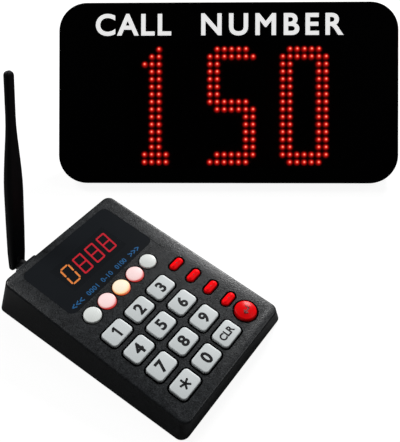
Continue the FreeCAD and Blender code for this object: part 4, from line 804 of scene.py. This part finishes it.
for number in range(4):
    name = "oval_button_%d" % (number + 1)
    along = OVAL_REAR - number * OVAL_PITCH
    placed = at(DECK, OVAL_SIDE, along)
    dome = dome_profile(OVAL_RADIUS, shoulder=1.05, top=OVAL_TOP, edge=1.5)[:-1]
    cap = pulled_apart(turned(flange_profile(OVAL_FLANGE, OVAL_RADIUS, OVAL_CORE)
                              + dome + [(OVAL_CORE, OVAL_TOP)], OVAL_SIDES), OVAL_REACH)
    drawn(name + "_cap", cap, placed, "cap_red", name + "_body", "cap_red", (name,), CRISP_DOME)
    # Painted shadow round the cap's opening.
    painted_gap_shadow(name, pulled_apart(turned_shadow_ring(*OVAL_SHADOW_RING, OVAL_SIDES), OVAL_REACH), placed)
    drawn(name + "_mark", bar(*DOT_SIZE, 0.0, 0.0, INK, 0.2),
          at(DECK, OVAL_SIDE, along, DOT_HEIGHT), "red_ink", name + "_body", "cap_red")
enter_place = at(DECK, ENTER_SIDE, ENTER_LINE)
enter = turned(flange_profile(ENTER_FLANGE, ENTER_RADIUS)
               + dome_profile(ENTER_RADIUS, shoulder=1.75, top=2.7, edge=1.6, steps=8))
drawn("enter_cap", enter, enter_place, "enter_red", "enter_button_body", "cap_red",
      ("enter_button",), CRISP_DOME)
# Painted shadow round the enter cap's opening.
painted_gap_shadow("enter", turned_shadow_ring(*ENTER_SHADOW_RING), enter_place)
print("red caps placed")

# %% [markdown]
# The enter key carries the usual bent arrow: two bars and an arrow head, laid just into the top of
# the dome.

# %% Enter mark
ARROW_STROKE, ARROW_THICK, ARROW_HEAD = 1.0, 0.2, 2.6
ARROW_PLACE = (ENTER_SIDE - 0.4, ENTER_LINE, 2.52)
arrow = bar(5.2, ARROW_STROKE, 0.4, -0.9, ARROW_THICK)
gather(arrow, bar(ARROW_STROKE, 3.4, 2.5, 0.3, ARROW_THICK))
for y, turn in ((-0.15, 45), (-1.65, -45)):
    gather(arrow, bar(ARROW_HEAD, ARROW_STROKE, -1.55, y, ARROW_THICK, turn=turn))
drawn("enter_mark", arrow, at(DECK, *ARROW_PLACE), "red_ink", "enter_button_body", "cap_red")
print("enter mark placed")

# %% [markdown]
# Behind the keypad's window stand four seven-segment digits. A segment is a thin bar with mitred
# ends, so that neighbours meet at forty-five degrees, with a hairline between them in the red
# digits and a clear gap in the amber one. The amber digit is the leftmost and shows nought, so its
# middle segment stays dark.

# %% Seven-segment digits
DIGIT_ACROSS, DIGIT_LINE, STROKE = 12.25, 130.2, 1.3
HALF_W, HALF_H = 3.7, 7.4
SEGMENT_THICK, SEGMENT_HEIGHT, MITRE = 0.1, -0.98, STROKE * 0.49
BLOCK_LINE, BLOCK_DEPTH, BLOCK_LOW, BLOCK_TOP, BLOCK_CORNER = 129.6, 24.0, -8.2, -1.0, 0.3
BLOCK_GAP = 0.2
SLANT = Matrix(((1, 0.14, 0, 0), (0, 1, 0, 0), (0, 0, 1, 0), (0, 0, 0, 1)))
SEGMENTS = {
    "a": (0, HALF_H, False), "g": (0, 0, False), "d": (0, -HALF_H, False),
    "b": (HALF_W, HALF_H / 2, True), "c": (HALF_W, -HALF_H / 2, True),
    "e": (-HALF_W, -HALF_H / 2, True), "f": (-HALF_W, HALF_H / 2, True),
}


def seven_segment(lit, centre, gap):
    """The lit segments of one digit, leaning over to the right as such displays do."""
    digit = bmesh.new()
    for name in lit:
        x, y, upright = SEGMENTS[name]
        length = (HALF_H if upright else 2 * HALF_W) + STROKE - 2 * gap
        size = (STROKE, length) if upright else (length, STROKE)
        gather(digit, bar(*size, x, y, SEGMENT_THICK, MITRE))
    bmesh.ops.transform(digit, matrix=Matrix.Translation((centre, 0, 0)) @ SLANT,
                        verts=digit.verts)
    return digit


for name, numbers, lit, gap, look in (
        ("amber_digit_module", (0,), "abcdef", 1.0, "digit_amber"),
        ("red_digit_modules", (1, 2, 3), "abcdefg", 0.2, "digit_red")):
    centres = [(number - 1.5) * DIGIT_ACROSS for number in numbers]
    body = rounded_block(DIGIT_ACROSS * len(numbers) - BLOCK_GAP, BLOCK_DEPTH, BLOCK_CORNER,
                         BLOCK_LOW, BLOCK_TOP, 2)
    drawn(name + "_block", body, at(DECK, sum(centres) / len(centres), BLOCK_LINE),
          "digit_body", "base", look, (name,))
    glow = bmesh.new()
    for centre in centres:
        gather(glow, seven_segment(lit, centre, gap))
    drawn(name + "_segments", glow, at(DECK, 0, DIGIT_LINE, SEGMENT_HEIGHT), look, "base", look,
          heart=lambda co: 1.0)
print("digits lit")

# %% [markdown]
# A row of small blue marks is printed along the front of the window, one for each round button.
# Plain numbers and arrows fill the row, condensed to the width that each mark takes on the photo.

# %% Blue marks along the window
BLUE_MARKS = ("<<<", "0001", "0-10", "0100", ">>>")
BLUE_HEIGHT, BLUE_WIDTH, BLUE_LINE, BLUE_SHIFT = 3.9, 10.2, 109.2, 0.4
for number, words in enumerate(BLUE_MARKS):
    printed("window_mark_%d" % (number + 1), words, BLUE_HEIGHT,
            at(DECK, ROUND_LEFT + number * ROUND_ACROSS + BLUE_SHIFT, BLUE_LINE), "blue_ink",
            "base", "window_smoke", weight=0.02, thickness=0.02, width=BLUE_WIDTH)
print("window marks", len(BLUE_MARKS))

# %% [markdown]
# The number board is a matrix of 5 mm lamps on a quarter-inch pitch, sixteen rows by seven for each
# digit. One lens is turned with few sides and repeated; hundreds of finer ones would only slow the
# render. The hot spot of a lit lamp is its heart, and what light falls between the lamps is a
# thin ring round each lit lens.

# %% Lamps of the number board
DIGIT_DOTS = (
    ("...#...", "..##...", ".###...") + ("..##...",) * 11 + (".####..",) * 2,
    (".#####.", "#######") + ("##.....",) * 5 + ("######.", ".######")
    + (".....##",) * 5 + (".######", "######."),
    (".#####.", "#######") + ("##...##",) * 12 + ("#######", ".#####."),
)
DOT_ACROSS, DOT_ALONG, DOT_BOTTOM, DOT_SHIFT, DOT_DIGIT = 6.3, 6.62, 18.7, 3.4, 63.8
SHEET_THICK, LENS_CLEARANCE, LENS_HEIGHT = 3.0, 0.4, 5.2
LENS_RADIUS, LENS_SIDES, LIT_ABOVE = 2.5, 12, 2.5
LENS_PROFILE = ((LENS_RADIUS, 0.0), (LENS_RADIUS, 2.7), (2.2, 4.0), (1.25, 4.9), (0.5, 5.15),
                (0.0, LENS_HEIGHT))
SPILL_INNER, SPILL_OUTER, SPILL_HEIGHT, SPILL_RISE = 2.55, 3.3, 3.0, 0.01
dot_face = at(BOARD, 0, 0, -(SHEET_THICK + LENS_CLEARANCE + LENS_HEIGHT))


def dot_places(wanted):
    """Lamp centres whose pattern character is the wanted one."""
    for digit, rows in enumerate(DIGIT_DOTS):
        for row, pattern in enumerate(rows):
            for column, character in enumerate(pattern):
                if character == wanted:
                    yield (DOT_SHIFT + (digit - 1) * DOT_DIGIT + (column - 3) * DOT_ACROSS,
                           DOT_BOTTOM + (15 - row) * DOT_ALONG)


def lens_field(name, wanted, look, node):
    """Every lamp of one kind as one piece; returns how many there are."""
    one = turned(LENS_PROFILE, LENS_SIDES)
    scrap = bpy.data.meshes.new("one_lens")
    one.to_mesh(scrap)
    one.free()
    field = bmesh.new()
    places = list(dot_places(wanted))
    for x, y in places:
        before = len(field.verts)
        field.from_mesh(scrap)
        field.verts.ensure_lookup_table()
        bmesh.ops.translate(field, vec=(x, y, 0), verts=field.verts[before:])
    mesh = to_mesh(name, field, Matrix.Identity(4), lambda co: 0.0)
    count = len(scrap.vertices)
    for number, vertex in enumerate(mesh.vertices):
        x, y = places[number // count]
        reach = Vector((vertex.co.x - x, vertex.co.y - y)).length
        mesh.attributes["heart"].data[number].value = (
            max(0.0, 1 - reach / LENS_RADIUS) if vertex.co.z > LIT_ABOVE else 0.0)
    mesh.transform(dot_face)
    bpy.data.meshes.remove(scrap)
    settle(name, mesh, look, "base", (node,))
    return len(places)


lit = lens_field("lit_lenses", "#", "lamp_lit", "lit_dots")
dark = lens_field("dark_lenses", ".", "lamp_dark", "dark_dots")
spill = bmesh.new()
for x, y in dot_places("#"):
    ring = turned([(SPILL_INNER, SPILL_HEIGHT + SPILL_RISE), (SPILL_OUTER, SPILL_HEIGHT)],
                  LENS_SIDES)
    bmesh.ops.translate(ring, vec=(x, y, 0), verts=ring.verts)
    gather(spill, ring)
drawn("lamp_spill", spill, dot_face, "lamp_spill", "base", "lamp_lit",
      heart=lambda co: (co.z - SPILL_HEIGHT) / SPILL_RISE)
print("lamps", lit, "lit,", dark, "dark")

# %% [markdown]
# Two plain words run along the top of the board's sheet in white ink, each letter-spaced to the
# length it has on the photo. A faint painted glow in the ink keeps it white where little light
# falls.

# %% Heading
HEADING = (("CALL", -115.5, -49.4), ("NUMBER", -23.3, 100.3))
HEADING_HEIGHT, HEADING_LINE = 19.4, 138.1
for number, (words, low, high) in enumerate(HEADING):
    printed("heading_%d" % (number + 1), words, HEADING_HEIGHT,
            at(BOARD, (low + high) / 2, HEADING_LINE), "white_ink_and_glow", "base", "window_smoke",
            weight=0.026, thickness=0.04, width=high - low)
print("heading printed")

# %% [markdown]
# The floor is plain white to the camera, as in a catalogue cut-out, because it glows for camera
# rays only. To everything else it is a dull grey that throws little light back. It keeps a soft
# shadow, so that both devices stand on something.

# %% Floor
FLOOR_GREY, FLOOR_GLOW, FLOOR_SIZE = (0.15, 0.17), 0.915, 6.0
floor_material, floor_tree, floor_shader = new_material("Pale floor", {"roughness": 0.9,
                                                                      "specular": 0.0})
speck = add(floor_tree, "ShaderNodeTexNoise", [("Scale", 30.0), ("Detail", 2.0)])
tone = add(floor_tree, "ShaderNodeMapRange", [("Value", speck.outputs["Fac"]),
                                              ("To Min", FLOOR_GREY[0]),
                                              ("To Max", FLOOR_GREY[1])])
floor_tree.links.new(tone.outputs["Result"], floor_shader.inputs["Base Color"])
seen = add(floor_tree, "ShaderNodeLightPath")
shown = add(floor_tree, "ShaderNodeMath", [(0, seen.outputs["Is Camera Ray"]), (1, FLOOR_GLOW)],
            operation="MULTIPLY")
floor_shader.inputs["Emission Color"].default_value = (1, 1, 1, 1)
floor_tree.links.new(shown.outputs[0], floor_shader.inputs["Emission Strength"])
plate = bmesh.new()
bmesh.ops.create_grid(plate, x_segments=1, y_segments=1, size=FLOOR_SIZE)
floor_mesh = bpy.data.meshes.new("Floor")
plate.to_mesh(floor_mesh)
plate.free()
floor_mesh.materials.append(floor_material)
floor = bpy.data.objects.new("Floor", floor_mesh)
bpy.context.scene.collection.objects.link(floor)
print("floor laid")

# %% [markdown]
# The world is the room round the object. What the camera sees of it, straight or through a clear
# sheet, is white, while the light it sheds is kept faint, so that the lamps model the forms.

# %% World
ROOM_LIGHT = 0.09
world = bpy.data.worlds.new("Studio")
bpy.context.scene.world = world
world.use_nodes = True
sky = world.node_tree
path = add(sky, "ShaderNodeLightPath")
direct = add(sky, "ShaderNodeMath", [(0, path.outputs["Is Camera Ray"]),
                                     (1, path.outputs["Is Transmission Ray"])],
             operation="MAXIMUM")
strength = add(sky, "ShaderNodeMapRange", [("Value", direct.outputs[0]),
                                           ("To Min", ROOM_LIGHT), ("To Max", 1.0)])
background = sky.nodes["Background"]
background.inputs["Color"].default_value = (1, 1, 1, 1)
sky.links.new(strength.outputs["Result"], background.inputs["Strength"])
print("world set")

# %% [markdown]
# Three soft round lamps light the object, at a level at which a colour renders about as it is
# written. The key light stands high at the left rear, a weaker one at the right, and a strong one
# lower down behind the board, which runs along the rear edges and the tops of the keys.

# %% Studio lamps
def soft_light(name, place, target, size, power):
    """A round area light in watts, aimed at a point."""
    data = bpy.data.lights.new(name, "AREA")
    data.shape = "DISK"
    data.size = size
    data.energy = power
    lamp = bpy.data.objects.new(name, data)
    bpy.context.scene.collection.objects.link(lamp)
    lamp.location = place
    lamp.rotation_euler = (Vector(target) - Vector(place)).to_track_quat("-Z", "Y").to_euler()


soft_light("Key light", (-1.1, 0.5, 1.35), (0, -0.05, 0.0), 0.7, 12.5)
soft_light("Right light", (1.2, 0.0, 1.2), (0, -0.05, 0.0), 0.7, 4.5)
soft_light("Back light", (0.43, 1.12, 0.82), (0, 0, 0.0), 0.5, 26.0)
print("lamps up")

# %% [markdown]
# The standard view keeps each colour as it is written.

# %% Finish
bpy.context.scene.view_settings.view_transform = "Standard"
